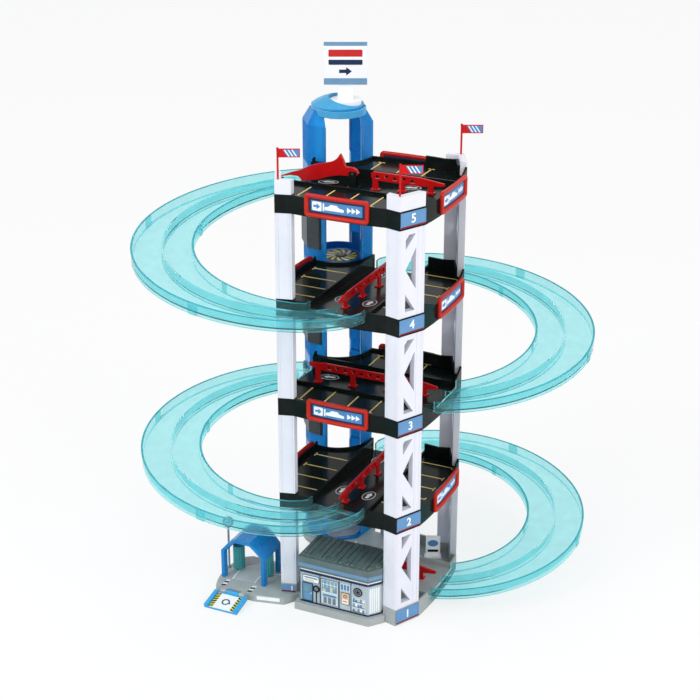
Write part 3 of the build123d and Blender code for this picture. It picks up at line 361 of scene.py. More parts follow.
def bay_lines():
    """Yellow T-shaped lines between the parking bays."""
    kit = Kit()

    def strip(level, a0, a1, c0, c1):
        outline = ((a0, c0), (a1, c0), (a1, c1), (a0, c1))
        kit.slab([deck_point(level, a, c, -SINK) for a, c in outline], (0, 0, 0.35))

    for level in (3, 5, 2, 4):
        left, right, inner, outer = BAYS[level % 2]
        for side, places in ((-1, left), (1, right)):
            for along in places:
                stem = sorted((side * inner, side * outer))
                strip(level, along - LINE_HALF, along + LINE_HALF, *stem)
                bar = sorted((side * outer, side * (outer - 2 * LINE_HALF)))
                strip(level, along - CROSS_HALF, along + CROSS_HALF, *bar)
    kit.build("bay_lines", "yellow", "tower", "deck_black")


def lane_stickers():
    """Two oval stickers with an arrow in every lane."""
    rings, discs, arrows = Kit(), Kit(), Kit()
    for level in range(2, LEVELS + 1):
        for along in STICKER_PLACES:
            for side in (-1, 1):
                def put(points, kit, low, high):
                    base = [lane_point(level, along + u, side * LANE + v, low) for u, v in points]
                    kit.slab(base, (0, 0, high - low))
                put(ellipse(*STICKER_HALF), rings, -SINK, 0.20)
                put(ellipse(STICKER_HALF[0] - STICKER_RIM, STICKER_HALF[1] - STICKER_RIM), discs, 0.10, 0.30)
                put([(-u, v) for u, v in arrow(19.0, 9.6, 8.0, 5.0)], arrows, 0.20, 0.42)
    rings.build("sticker_rims", "print_white", "tower", "sign_white")
    discs.build("sticker_ovals", "black", "tower", "deck_black")
    arrows.build("sticker_arrows", "print_white", "tower", "sign_white")


# ================================================================ sign frames
# the moulding's section: how far in from the rim, how far out from the face
FRAME_PROFILE = [(0.0, 0.3), (0.0, 3.6), (0.7, 4.7), (1.8, 5.3), (3.2, 5.3), (4.6, 4.4), (5.6, 3.2),
                 (6.0, 2.2), (6.0, 0.3)]
FRAME_HALF = (47.0, 16.0)
FRAME_CORNER = 5.5
FRAME_MID = 18.0
FACE_STEP = 6


def sign_frames(level):
    """The mouldings of one deck's frames, in place of the plain ones."""
    kit = Kit()
    mid = underside(level) + FRAME_MID
    for side in FRAMES[level]:
        rings = []
        for inward, out in FRAME_PROFILE:
            corner = max(FRAME_CORNER - inward, 1.2)
            rings.append((out, rounded(FRAME_HALF[0] - inward, FRAME_HALF[1] - inward, corner, 6)))
        rim = rings[0][1]
        sections = []
        for i in range(len(rim)):
            j = (i + 1) % len(rim)
            steps = max(1, int(abs(rim[j][0] - rim[i][0]) / FACE_STEP))
            for k in range(steps):
                t = k / steps
                section = []
                for out, ring in rings:
                    s = ring[i][0] + (ring[j][0] - ring[i][0]) * t
                    z = ring[i][1] + (ring[j][1] - ring[i][1]) * t
                    section.append(on_face(side, FRAME_SHIFT[side] + s, mid + z, out))
                sections.append(section)
        kit.tube(sections, closed=True)
    piece = kit.build(f"sign_frame_mouldings_{level}", "frame", "tower", "frame_orange_red", smooth=True)
    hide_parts(f"sign_frames_{level}")


CAR = [(-13, -3.2), (13.5, -3.2), (14.5, -0.8), (13.0, 0.8), (7.5, 1.6), (3.8, 5.0), (-5.0, 5.2), (-9.0, 1.8),
       (-13.4, 1.2), (-14.2, -1.0)]
FIELD_HALF = (37.5, 7.4)
FIELD_PARTS = 6


def sign_prints():
    """Blue fields with an arrow tile, a car and three chevrons on every insert."""
    blue, tiles, marks, cars = Kit(), Kit(), Kit(), Kit()
    for level, sides in FRAMES.items():
        mid = underside(level) + FRAME_MID
        for side in sides:
            def put(kit, outline, ds, dz, low, high):
                kit.tube([[on_face(side, FRAME_SHIFT[side] + ds + s, mid + dz + z, out) for s, z in outline]
                          for out in (low, high)], closed=False)

            width, half = 2 * FIELD_HALF[0] / FIELD_PARTS, FIELD_HALF[1]
            for k in range(FIELD_PARTS):
                a, b = -FIELD_HALF[0] + width * k, -FIELD_HALF[0] + width * (k + 1)
                put(blue, [(a, -half), (b, -half), (b, half), (a, half)], 0, 0, 1.5, 1.85)
            put(tiles, rounded(7.0, 6.2, 1.6), -28.5, 0, 1.8, 2.15)
            put(marks, arrow(10.0, 8.0, 5.0, 3.2), -28.5, 0, 2.1, 2.4)
            put(cars, CAR, -3.0, -0.6, 1.8, 2.1)
            put(cars, rounded(1.1, 5.4, 0.5), -18.6, 0, 1.8, 2.1)
            for k in range(3):
                put(cars, arrow(7.0, 8.4, 6.0, 0.6), 18.5 + 6.4 * k, 0, 1.8, 2.1)
    blue.build("sign_blue_fields", "blue_print", "tower", "insert_print")
    tiles.build("sign_white_tiles", "print_white", "tower", "insert_print")
    marks.build("sign_arrows", "blue_print", "tower", "insert_print")
    cars.build("sign_pictograms", "print_white", "tower", "insert_print")


# ================================================================ number plates
PLATE_PROUD = 1.2
PLATE_TOP = 24.0
PLATE_RIM = 0.7
PLATE_EDGE = 2.0
DIGIT_SHARE = 0.70  # a digit's height over the font's size
DIGIT_DEPTH = 0.15


def numeral(text, centre, right, normal, height):
    """A raised level number: its mesh points in millimetres and its faces."""
    curve = bpy.data.curves.new("numeral", "FONT")
    curve.body = text
    curve.align_x = "CENTER"
    curve.align_y = "CENTER"
    curve.size = height / DIGIT_SHARE
    curve.extrude = DIGIT_DEPTH
    curve.offset = 0.35
    obj = bpy.data.objects.new("numeral", curve)
    bpy.context.scene.collection.objects.link(obj)
    bpy.context.view_layer.update()
    mesh = bpy.data.meshes.new_from_object(obj.evaluated_get(bpy.context.evaluated_depsgraph_get()))
    spots = [v.co.copy() for v in mesh.vertices]
    mx = (min(v.x for v in spots) + max(v.x for v in spots)) / 2
    my = (min(v.y for v in spots) + max(v.y for v in spots)) / 2
    points = [centre + right * (v.x - mx) + UP * (v.y - my) + normal * (v.z + DIGIT_DEPTH) for v in spots]
    faces = [tuple(p.vertices) for p in mesh.polygons]
    bpy.data.objects.remove(obj)
    return points, faces


def number_plates():
    """Edges, rims and raised numbers on the plates."""
    borders, rims, digits = Kit(), Kit(), Kit()
    plates = [("front", k, True, 3.0) for k in range(1, LEVELS + 1)] + [("left", 1, False, 13.0)]
    for corner, level, on_side, low in plates:
        middle, right, normal, tip, end = corner_face(corner, on_side)
        half = (end - tip).length / 2 - 1.0
        z0, z1 = underside(level) + low, underside(level) + PLATE_TOP
        out = normal * (PLATE_PROUD - SINK)

        def put(kit, s0, s1, a, b):
            outline = ((s0, a), (s1, a), (s1, b), (s0, b))
            kit.slab([middle + right * s + UP * z + out for s, z in outline], normal * 0.3)

        put(borders, -half, half, z0, z0 + PLATE_EDGE)
        put(rims, -half, half, z1 - PLATE_RIM, z1)
        put(rims, -half, -half + PLATE_RIM, z0 + PLATE_EDGE, z1 - PLATE_RIM)
        put(rims, half - PLATE_RIM, half, z0 + PLATE_EDGE, z1 - PLATE_RIM)
        size, shift = (12.0, 0.0) if on_side else (7.5, 5.0)
        centre = middle + right * shift + UP * ((z0 + z1) / 2 + 1.0) + out
        points, faces = numeral(str(level), centre, right, normal, size)
        base = len(digits.verts)
        digits.verts += points
        digits.faces += [tuple(i + base for i in f) for f in faces]
    borders.build("plate_red_edges", "dark_red", "tower", "plate_blue")
    rims.build("plate_rims", "slate", "tower", "plate_blue")
    digits.build("level_numbers", "print_white", "tower", "plate_blue")


# ================================================================ columns
def column_ribs():
    """Upright beads along the column faces."""
    kit = Kit()
    section = [(-1.5, 0.0), (1.5, 0.0), (0.9, 0.55), (-0.9, 0.55)]
    for corner in CORNERS:
        for on_side, spots in ((False, (3.6, 19.4)), (True, (3.6, 33.0, 41.4))):
            _, _, normal, tip, end = corner_face(corner, on_side)
            along = (end - tip).normalized()
            for u in spots:
                foot = tip + along * u - normal * 0.58
                for level in range(1, LEVELS):
                    ends = (underside(level) + RIM + 0.3, underside(level + 1) - 0.3)
                    kit.tube([[foot + along * s + normal * o + UP * z for s, o in section] for z in ends],
                             closed=False)
    kit.build("column_ribs", "column", "tower", "column_white")


# ================================================================ flags
def pole_foot(corner):
    sx, sy = CORNERS[corner]
    return Vector((sx * (VERTEX[0] - 3.0), sy * (VERTEX[1] - 6.0), 0))


def flag_prints():
    """Blue fields and white stripes on both faces of the flags, and the poles' round tips."""
    blue, white, knobs = Kit(), Kit(), Kit()
    top = underside(LEVELS) + RIM + CAP_HEIGHT + POLE_HEIGHT
    for corner in CORNERS:
        foot = pole_foot(corner)
        for face in (-1, 1):
            def put(kit, outline, low, high):
                base = [foot + SIGN_ALONG * u + UP * (top - 12.0 + v) + SIGN_OUT * face * low
                        for u, v in outline]
                kit.slab(base, SIGN_OUT * face * (high - low))
            put(blue, [(13, 1.4), (28.6, 1.4), (28.6, 10.6), (7, 10.6)], 0.48, 0.66)
            for k in range(3):
                u = 14.5 + 5.0 * k
                put(white, [(u, 1.4), (u + 1.7, 1.4), (u - 4.3, 10.6), (u - 6.0, 10.6)], 0.62, 0.76)
        knobs.tube([[foot + UP * (top + dz) + Vector((r * cos(a), r * sin(a), 0)) for a in angles(12)]
                    for r, dz in ((0.2, 2.0), (1.3, 1.4), (1.9, 0.2), (1.5, -0.9))], closed=False)
    blue.build("flag_blue_fields", "blue_print", "tower", "flag_print")
    white.build("flag_white_stripes", "print_white", "tower", "flag_print")
    knobs.build("flag_pole_tips", "red", "tower", "flag_print", smooth=True)


# ================================================================ roof sign
def roof_sign_prints():
    """Plain bands, bars and an arrow on both faces of the roof sign."""
    slate, red, dark = Kit(), Kit(), Kit()
    low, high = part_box("roof_sign")
    centre = Vector(((low.x + high.x) / 2, (low.y + high.y) / 2, high.z - 31.0 * MM)) / MM
    for face in (-1, 1):
        def put(kit, outline, dv):
            base = [centre + SIGN_ALONG * face * u + UP * (dv + v) + SIGN_OUT * face * 1.98
                    for u, v in outline]
            kit.slab(base, SIGN_OUT * face * 0.3)
        put(slate, rounded(30.6, 2.8, 0.4), 27.8)
        put(slate, rounded(30.6, 4.6, 0.4), -26.0)
        put(red, rounded(24.0, 5.0, 1.2), 14.5)
        put(dark, rounded(24.0, 3.6, 1.2), 1.5)
        put(dark, arrow(18.0, 12.0, 8.0, 4.8), -11.5)
    slate.build("roof_sign_bands", "slate", "roof_sign", "insert_print")
    red.build("roof_sign_red_bar", "print_red", "roof_sign", "roof_sign_red")
    dark.build("roof_sign_dark_bars", "navy", "roof_sign", "insert_print")


# ================================================================ lift
def turntable_print():
    """Slanted hazard wedges, an outer ring and a hub on the turntable."""
    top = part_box("lift_turntable")[1].z / MM
    hazard, white, hub = Kit(), Kit(), Kit()
    centre = Vector((HEAD[0], HEAD[1], top - SINK))
    wedges, skew = 12, radians(22)
    inner, reach = 9.5, 14.5

    def polar(r, a):
        return centre + Vector((r * cos(a), r * sin(a), 0))

    for k, a0 in enumerate(angles(wedges)):
        half = pi / wedges * 0.5
        outline = [polar(inner, a0 - half), polar(inner, a0 + half)]
        outline += [polar(inner + reach * t, a0 + half + skew * t) for t in (0.33, 0.66, 1.0)]
        outline += [polar(inner + reach, a0 - half + skew)]
        outline += [polar(inner + reach * t, a0 - half + skew * t) for t in (0.66, 0.33)]
        (white if k % 4 == 2 else hazard).slab(outline, (0, 0, 0.3))
    hub.tube([[polar(r, a) + UP * z for a in angles(48)]
              for r, z in ((25.2, 0.0), (26.2, 0.0), (26.2, 0.45), (25.2, 0.45))], closed=True)
    hub.tube([[polar(r, a) + UP * z for a in angles(32)]
              for r, z in ((7.2, 0.0), (7.2, 0.7), (5.6, 1.3), (1.0, 1.5))], closed=False)
    hazard.build("turntable_wedges", "hazard", "turntable", "turntable_hazard")
    white.build("turntable_white_wedges", "print_white", "turntable", "turntable_hazard")
    hub.build("turntable_trim", "guide", "turntable", "turntable_hazard")


def shaft_point(u, v, z):
    """A point of the shaft's own plan: u towards the front opening, v across it."""
    a = radians(SHAFT_TURN)
    return Vector((LIFT[0] + u * cos(a) - v * sin(a), LIFT[1] + u * sin(a) + v * cos(a), z))


def post_ribs():
    """Upright ribs on the posts: a rim along both openings and beads on the flats."""
    rims, beads = Kit(), Kit()
    flat = SHAFT_R * cos(pi / 8)
    half = SHAFT_R * sin(pi / 8)
    corner_u = flat - (GAP - half)
    rim = [(corner_u + 0.5, GAP - 0.4), (corner_u + 1.6, GAP + 0.8), (corner_u - 1.0, GAP + 3.4),
           (corner_u - 2.2, GAP + 2.4)]
    for level in range(1, LEVELS + 1):
        z0 = underside(level) + 16.2
        z1 = underside(level + 1) - 8.2 if level < LEVELS else underside(level) + 74.5
        for end in (-1, 1):
            for side in (-1, 1):
                rims.slab([shaft_point(end * a, side * b, z0) for a, b in rim], (0, 0, z1 - z0))
        for side in (-1, 1):
            top = underside(level) + 40.5 if side < 0 and level < LEVELS else z1
            for u in (-15.0, -7.5, 0.0, 7.5, 15.0):
                bead = ((-1.2, -0.1), (1.2, -0.1), (0.6, 0.7), (-0.6, 0.7))
                beads.slab([shaft_point(u + a, side * (flat + b), z0) for a, b in bead], (0, 0, top - z0))
    rims.build("lift_post_rims", "lift_solid", "tower", "lift_blue")
    beads.build("lift_post_beads", "lift", "tower", "lift_blue")


def bracket_skirt():
    """Pale skin round the bracket, between the arch and the cap."""
    kit = Kit()
    low, high = underside(LEVELS) + 88.0, underside(LEVELS) + 97.2
    kit.tube([[Vector((HEAD[0] + r * cos(a), HEAD[1] + r * sin(a), z)) for a in angles(56)] for r, z in
              ((HEAD_R - 0.3, low), (HEAD_R + 0.6, low), (HEAD_R + 0.6, high), (HEAD_R - 1.4, high + 0.5))],
             closed=True)
    kit.build("bracket_skirt", "cap", "tower", "cap_pale_blue")


# ================================================================ loop tracks
def loop_point(side, level, theta):
    """A point on a loop's middle line and its outward direction; theta in degrees about the loop's centre."""
    high, low = underside(level) + FLOOR_OUT, underside(level - 1) + FLOOR_IN
    sign, turned = (-1, theta - 90.0) if side == "left" else (1, 180.0 - theta)
    z = high - (high - low) * turned / 270.0
    out = Vector((cos(radians(theta)), sin(radians(theta)), 0))
    return Vector((sign * LOOP_R, sign * LOOP_R, z)) + out * LOOP_R, out


LOOPS = {"loop_left_upper": ("left", 5), "loop_left_lower": ("left", 3),
         "loop_right_upper": ("right", 4), "loop_right_lower": ("right", 2)}


def loop_details():
    """Rolled lips along the walls, and the sleeves where the quarter tracks join."""
    steps = 108
    for name, (side, level) in LOOPS.items():
        lips, sleeves = Kit(), Kit()
        start, way = (90.0, 270.0) if side == "left" else (180.0, -270.0)
        joints = (180.0, 270.0) if side == "left" else (90.0, 0.0)
        for radial in (-LOOP_PITCH, LOOP_PITCH):
            shift = 0.5 if radial > 0 else -0.5
            loops = []
            for i in range(steps + 1):
                point, out = loop_point(side, level, start + way * i / steps)
                mid = point + out * (radial + shift) + UP * 10.5
                loops.append([mid + out * (1.35 * cos(a)) + UP * (0.7 * sin(a)) for a in angles(8)])
            lips.tube(loops, closed=False)
        for theta in joints:
            for radial in (-LOOP_PITCH, LOOP_PITCH):
                sign = 1 if radial > 0 else -1
                loops = []
                for d, reach in ((-2.4, 1.9), (-1.8, 2.6), (1.8, 2.6), (2.4, 1.9)):
                    point, out = loop_point(side, level, theta + d)
                    mid = point + out * radial
                    loops.append([mid + out * sign * r + UP * z for r, z in
                                  ((1.05, -4.6), (reach, -4.6), (reach, 8.6), (1.05, 8.6))])
                sleeves.tube(loops, closed=False)
        lips.build(f"{name}_lips", "loop_edge", "tower", "track_turquoise", smooth=True)
        sleeves.build(f"{name}_sleeves", "loop", "tower", "track_turquoise")


# ================================================================ workshop
SHOP = {"left": -54.0, "right": 67.0, "front": -124.0, "back": -62.0, "cx": 13.0, "cy": 16.0}
SHOP_TOP = 69.0


def shop_faces():
    """The walls from the front on: start point, direction to the right, outward normal and length."""
    a = Vector((SHOP["left"], SHOP["front"], 0))
    b = Vector((SHOP["right"] - SHOP["cx"], SHOP["front"], 0))
    c = Vector((SHOP["right"], SHOP["front"] + SHOP["cy"], 0))
    d = Vector((SHOP["right"], SHOP["back"], 0))
    e = Vector((SHOP["left"], SHOP["back"], 0))
    made = []
    for p, q in ((a, b), (b, c), (c, d), (d, e), (e, a)):
        right = (q - p).normalized()
        made.append((p, right, Vector((right.y, -right.x, 0)), (q - p).length))
    return made


def front_facade(put, disc):
    """Door, sign board, workbench window, tyre, poster and shelves on the front wall.

    put takes a material, left and right, bottom and top, where the print starts and ends off the wall, and
    a corner radius. disc takes a material, a middle, a radius, the same two depths and a hole's radius.
    """
    for u in (31.6, 62.4, 81.0):
        put("navy", u - 0.5, u + 0.5, 14.6, 61.4, -SINK, 0.4)
    for u in range(2, 106, 4):
        put("slate", u, u + 0.5, 58.6, 61.4, -SINK, 0.35)
    put("navy", 2.6, 20.4, 14.6, 45.4, -SINK, 0.4, 1.2)
    put("door", 4, 19, 16, 44, 0.3, 0.9, 1.0)
    put("glass", 6.4, 16.6, 30.5, 41.6, 0.8, 1.2, 1.2)
    put("slate", 6.4, 16.6, 18.0, 27.6, 0.8, 1.1, 0.8)
    put("print_white", 16.8, 17.9, 28, 30, 0.8, 1.5, 0.5)
    put("navy", 3.6, 30.2, 46.8, 58.0, -SINK, 0.4, 1.6)
    put("print_white", 4.4, 29.4, 47.6, 57.2, 0.3, 0.7, 1.4)
    put("slate", 6.5, 27.5, 53.2, 55.4, 0.6, 0.9, 0.5)
    put("cream", 6.5, 22.0, 49.4, 51.4, 0.6, 0.9, 0.5)
    disc("black", 25.6, 38.0, 5.8, 0.5, 1.3, 3.2)
    disc("chrome", 25.6, 38.0, 3.1, 0.4, 1.0)
    disc("black", 25.6, 38.0, 1.0, 0.9, 1.2)
    put("black", 24.8, 26.4, 15, 32, -SINK, 0.7)
    put("navy", 32.8, 61.4, 16.0, 58.0, -SINK, 0.35)
    put("pastel", 33.6, 60.6, 16.8, 57.2, 0.25, 0.6)
    put("glass", 35.0, 59.2, 36.4, 56.0, 0.5, 0.8)
    for k in range(4):
        u = 36.4 + 5.8 * k
        put("slate" if k % 2 else "cream", u, u + 4.0, 38.0, 42.0 + 2.4 * (k % 3), 0.7, 1.0, 0.4)
        put("print_white", u + 0.6, u + 1.2, 44.6, 55.0, 0.7, 0.95)
    put("print_white", 35.0, 59.2, 36.4, 37.4, 0.7, 1.1)
    put("print_white", 35.0, 59.2, 49.6, 50.3, 0.7, 1.0)
    put("door", 36.0, 58.2, 30.0, 33.2, 0.5, 1.0, 0.4)
    for k in range(3):
        u = 37.4 + 7.2 * k
        put("chrome", u, u + 5.0, 18.2, 28.8, 0.5, 1.0, 0.5)
        put("navy", u + 0.8, u + 4.2, 24.8, 25.5, 0.9, 1.2)
        put("navy", u + 0.8, u + 4.2, 21.2, 21.9, 0.9, 1.2)
    put("navy", 65.2, 78.8, 22.8, 43.2, -SINK, 0.4, 0.8)
    put("cream", 66, 78, 23.6, 42.4, 0.3, 0.7, 0.8)
    put("print_white", 67.4, 76.6, 25.4, 32.4, 0.6, 1.0)
    disc("print_red", 72, 37.2, 2.9, 0.6, 0.95, 1.7)
    put("print_red", 68.6, 75.4, 28.2, 29.6, 0.9, 1.2, 0.3)
    put("pastel", 64.0, 79.6, 46.0, 57.6, -SINK, 0.5, 0.8)
    for k in range(3):
        put("blue_print", 65.4 + 4.8 * k, 68.6 + 4.8 * k, 47.4, 56.2, 0.4, 0.8, 0.6)
    disc("black", 92.0, 49.0, 7.2, -SINK, 0.7)
    disc("chrome", 92.0, 49.0, 5.4, 0.6, 1.0, 4.2)
    for k in range(6):
        angle = 2 * pi * k / 6
        disc("chrome", 92.0 + 2.6 * cos(angle), 49.0 + 2.6 * sin(angle), 0.8, 0.6, 1.0)
    put("pastel", 82.6, 104.0, 15.6, 38.6, -SINK, 0.4, 0.8)
    for row, z in enumerate((17.0, 25.0, 33.0)):
        put("navy", 83.6, 103.0, z - 0.9, z, 0.3, 0.8)
        for k in range(5):
            key = ("blue_print", "cream", "slate", "print_white", "door")[(k + 2 * row) % 5]
            put(key, 84.4 + 3.8 * k, 87.2 + 3.8 * k, z, z + 3.2 + (k + row) % 3, 0.3, 0.8, 0.4)


def shop_prints():
    """Bands round the workshop, its front, the side's ribbed shutters and the hidden walls' windows."""
    kits = {key: Kit() for key in ("pastel", "glass", "door", "navy", "print_white", "blue_print", "cream",
                                   "black", "slate", "chrome", "print_red")}
    walls = shop_faces()

    def put(wall, key, u0, u1, z0, z1, low, high, radius=0.0):
        start, right, normal, _ = walls[wall]
        if radius:
            corners = rounded((u1 - u0) / 2, (z1 - z0) / 2, radius)
            outline = [((u0 + u1) / 2 + u, (z0 + z1) / 2 + v) for u, v in corners]
        else:
            outline = [(u0, z0), (u1, z0), (u1, z1), (u0, z1)]
        kits[key].slab([start + right * u + UP * z + normal * low for u, z in outline], normal * (high - low))

    def disc(wall, key, u, z, r, low, high, inner=0.0):
        start, right, normal, _ = walls[wall]
        if inner:
            kits[key].tube([[start + right * (u + x) + UP * (z + y) + normal * out
                             for x, y in ellipse(radius, radius)] for radius, out in
                            ((r, low), (r, high), (inner, high), (inner, low))], closed=True)
        else:
            outline = [start + right * (u + x) + UP * (z + y) + normal * low for x, y in ellipse(r, r, 24)]
            kits[key].slab(outline, normal * (high - low))

    for wall in range(5):
        length = walls[wall][3]
        put(wall, "navy", 0.2, length - 0.2, BASE_TOP + 0.2, BASE_TOP + 2.4, -SINK, 0.5)
        put(wall, "navy", 0.2, length - 0.2, 61.5, 65.5, -SINK, 0.5)
        put(wall, "print_white", 0.2, length - 0.2, 65.5, 67.0, -SINK, 0.5)
    front_facade(partial(put, 0), partial(disc, 0))
    # cut corner and right side
    for wall, count in ((1, 5), (2, 11)):
        length = walls[wall][3]
        put(wall, "pastel", 1.2, length - 1.2, 16, 58, -SINK, 0.35)
        for k in range(count):
            u = 2.4 + (length - 4.8) * (k + 0.5) / count
            put(wall, "print_white", u - 0.7, u + 0.7, 17, 57, 0.25, 0.9)
    # back and left
    for wall, spots in ((3, (14, 46, 78)), (4, (10, 36))):
        for u in spots:
            put(wall, "pastel", u, u + 22, 24, 52, -SINK, 0.5, 1.0)
            put(wall, "glass", u + 2, u + 20, 26, 50, 0.4, 0.8)
            put(wall, "print_white", u + 10.4, u + 11.6, 26, 50, 0.7, 1.1)
            put(wall, "print_white", u + 2, u + 20, 37.4, 38.6, 0.7, 1.1)
    names = {"pastel": "shop_panels", "glass": "shop_windows", "door": "shop_door", "navy": "shop_bands",
             "print_white": "shop_white_trim", "blue_print": "shop_blue_trim", "cream": "shop_poster",
             "black": "shop_black_discs", "slate": "shop_slate_trim", "chrome": "shop_hubs",
             "print_red": "shop_red_marks"}
    for key, kit in kits.items():
        kit.build(names[key], key, "tower", "shop_wall_print")


def roof_details():
    """A pale band along the fascia and short raised ribs along the front eave."""
    fascia, ribs = Kit(), Kit()
    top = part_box("shop_roof")[1].z / MM
    grow = 2.5
    left, right_end = SHOP["left"] - grow, SHOP["right"] + grow
    back, front = SHOP["back"] + grow, SHOP["front"] - grow
    outline = [(left, back), (left, front), (SHOP["right"] - SHOP["cx"] + 1.0, front),
               (right_end, SHOP["front"] + SHOP["cy"] - 1.0), (right_end, back)]
    z0, z1 = SHOP_TOP + 3.0, SHOP_TOP + 9.0
    for (x0, y0), (x1, y1) in zip(outline, outline[1:] + outline[:1]):
        p, q = Vector((x0, y0, 0)), Vector((x1, y1, 0))
        right = (q - p).normalized()
        normal = Vector((right.y, -right.x, 0))
        length = (q - p).length
        band = ((0.4, z0), (length - 0.4, z0), (length - 0.4, z1), (0.4, z1))
        fascia.slab([p + right * u + UP * z - normal * SINK for u, z in band], normal * 0.4)
    pitch, reach = 6.4, 13.0
    for k in range(int((SHOP["right"] - SHOP["left"]) / pitch)):
        x = SHOP["left"] + 2.0 + pitch * (k + 0.5)
        slope = max(0.0, x - (SHOP["right"] - SHOP["cx"] - 2.0)) * SHOP["cy"] / SHOP["cx"]
        y0 = SHOP["front"] + 0.8 + slope
        loops = []
        for y, lift in ((y0, 0.3), (y0 + 1.2, 1.0), (y0 + reach - 3.0, 0.9), (y0 + reach, 0.1)):
            loops.append([Vector((x + 1.9 * cos(a), y, top - 0.3 + lift * max(sin(a), -0.3)))
                          for a in angles(10)])
        ribs.tube(loops, closed=False)
    fascia.build("shop_fascia", "slate", "tower", "roof_green_grey")
    ribs.build("shop_roof_ribs", "roof", "tower", "roof_green_grey", smooth=True)


# ================================================================ base, wash and ramp
def road_strip(points, width, z):
    """The left and right edges of a flat road that follows a line of points."""
    left, right = [], []
    for i, (x, y) in enumerate(points):
        px, py = points[max(i - 1, 0)]
        nx, ny = points[min(i + 1, len(points) - 1)]
        d = Vector((nx - px, ny - py, 0)).normalized()
        side = Vector((-d.y, d.x, 0)) * (width / 2)
        left.append(Vector((x, y, z)) + side)
        right.append(Vector((x, y, z)) - side)
    return left, right


def quad_run(kit, left, right, thick):
    """Fills between two edges with slabs."""
    for i in range(len(left) - 1):
        kit.slab([right[i], right[i + 1], left[i + 1], left[i]], (0, 0, thick))


def curve_points(points, steps=6):
    """Catmull-Rom points through a few given ones."""
    out = []
    for i in range(len(points) - 1):
        p0 = Vector(points[max(i - 1, 0)])
        p1, p2 = Vector(points[i]), Vector(points[i + 1])
        p3 = Vector(points[min(i + 2, len(points) - 1)])
        for k in range(steps):
            t = k / steps
            out.append(tuple(0.5 * ((2 * p1) + (p2 - p0) * t + (2 * p0 - 5 * p1 + 4 * p2 - p3) * t ** 2
                                    + (3 * p1 - p0 - 3 * p2 + p3) * t ** 3)))
    out.append(points[-1])
    return out


def base_prints():
    """Two pale roads with white edges, the wash's marks and a label on the kerb."""
    road, white, dark, pale = Kit(), Kit(), Kit(), Kit()
    z = BASE_TOP
    main = curve_points([(-8.0, 0.0), (-38.0, 6.0), (-62.0, 30.0), (-74.0, 62.0)])
    quad_run(road, *road_strip(main, 46.0, z - SINK), 0.35)
    wash = curve_points([(-58.0, -4.0), (-92.0, -44.0), (-128.0, -58.0), (-156.0, -84.0), (-156.0, -112.0)])
    quad_run(road, *road_strip(wash, 40.0, z - SINK), 0.25)
    for line, shift in ((main, 21.0), (main, -21.0), (wash, 18.0), (wash, -18.0)):
        edge, _ = road_strip(line, 2 * shift, z + 0.15)
        quad_run(white, *road_strip([(p.x, p.y) for p in edge], 1.6, z + 0.15), 0.25)
    for k in range(4):
        y = -118.0 - 4.6 * k
        for side in (-1, 1):
            x = WASH_X + side * 22.0
            mark = ((x - 3, y - 4.6), (x + 3, y - 2.8), (x + 3, y + 1.2), (x - 3, y - 0.6))
            (dark if k % 2 else pale).slab([(u, v, z - SINK) for u, v in mark], (0, 0, 0.3))
    start, end = Vector((-123.0, -139.0, 0)), Vector((-82.0, -129.2, 0))
    right = (end - start).normalized()
    normal = Vector((right.y, -right.x, 0))
    label = ((3, 4), (38, 4), (38, 10), (3, 10))
    white.slab([start + right * u + UP * v - normal * SINK for u, v in label], normal * 0.35)
    road.build("base_roads", "road", "tower", "base_grey")
    white.build("base_road_edges", "print_white", "tower", "base_grey")
    dark.build("wash_dark_marks", "black", "tower", "base_grey")
    pale.build("wash_pale_marks", "print_white", "tower", "base_grey")


def ramp_point(x, y, z):
    """A point given in the ramp's own frame, hinge at the origin, turned down to its rest position."""
    a = radians(RAMP_DROP)
    hinge_x, hinge_y, hinge_z = RAMP_HINGE
    return Vector((hinge_x + x, hinge_y + y * cos(a) - z * sin(a), hinge_z + y * sin(a) + z * cos(a)))


def ramp_prints():
    """White panel, hazard bands and a ring arrow on the ramp."""
    a = radians(RAMP_DROP)
    normal = Vector((0, -sin(a), cos(a)))
    panel, dark, hazard, blue = Kit(), Kit(), Kit(), Kit()

    def put(kit, outline, low, thick):
        kit.slab([ramp_point(x, y, RAMP_FACE + low) for x, y in outline], normal * thick)

    put(panel, [(-20.6, -39.0), (20.6, -39.0), (20.6, -7.0), (-20.6, -7.0)], 0.0, 0.3)
    for side in (-1, 1):
        x0, x1 = sorted((side * 20.2, side * 14.2))
        put(hazard, [(x0, -38.6), (x1, -38.6), (x1, -7.4), (x0, -7.4)], 0.25, 0.2)
        left, right = (0, 2.4) if side < 0 else (2.4, 0)
        for k in range(6):
            y = -38.2 + 5.2 * k
            stripe = [(x0, y + left), (x1, y + right), (x1, y + 2.5 + right), (x0, y + 2.5 + left)]
            put(dark, stripe, 0.4, 0.15)
    ring = []
    for r, low in ((6.2, 0.25), (6.2, 0.55), (4.2, 0.55), (4.2, 0.25)):
        ring.append([ramp_point(r * cos(t), -22.5 + r * sin(t), RAMP_FACE + low) for t in
                     [radians(20 + 320 * i / 24) for i in range(25)]])
    for i in range(24):
        blue.tube([[row[i] for row in ring], [row[i + 1] for row in ring]], closed=False)
    put(blue, [(3.2, -25.2), (8.6, -24.6), (5.6, -20.4)], 0.25, 0.3)
    panel.build("ramp_white_panel", "print_white", "ramp", "ramp_hazard")
    hazard.build("ramp_hazard_bands", "hazard", "ramp", "ramp_hazard")
    dark.build("ramp_dark_stripes", "black", "ramp", "ramp_hazard")
    blue.build("ramp_ring_arrow", "navy", "ramp", "ramp_hazard")


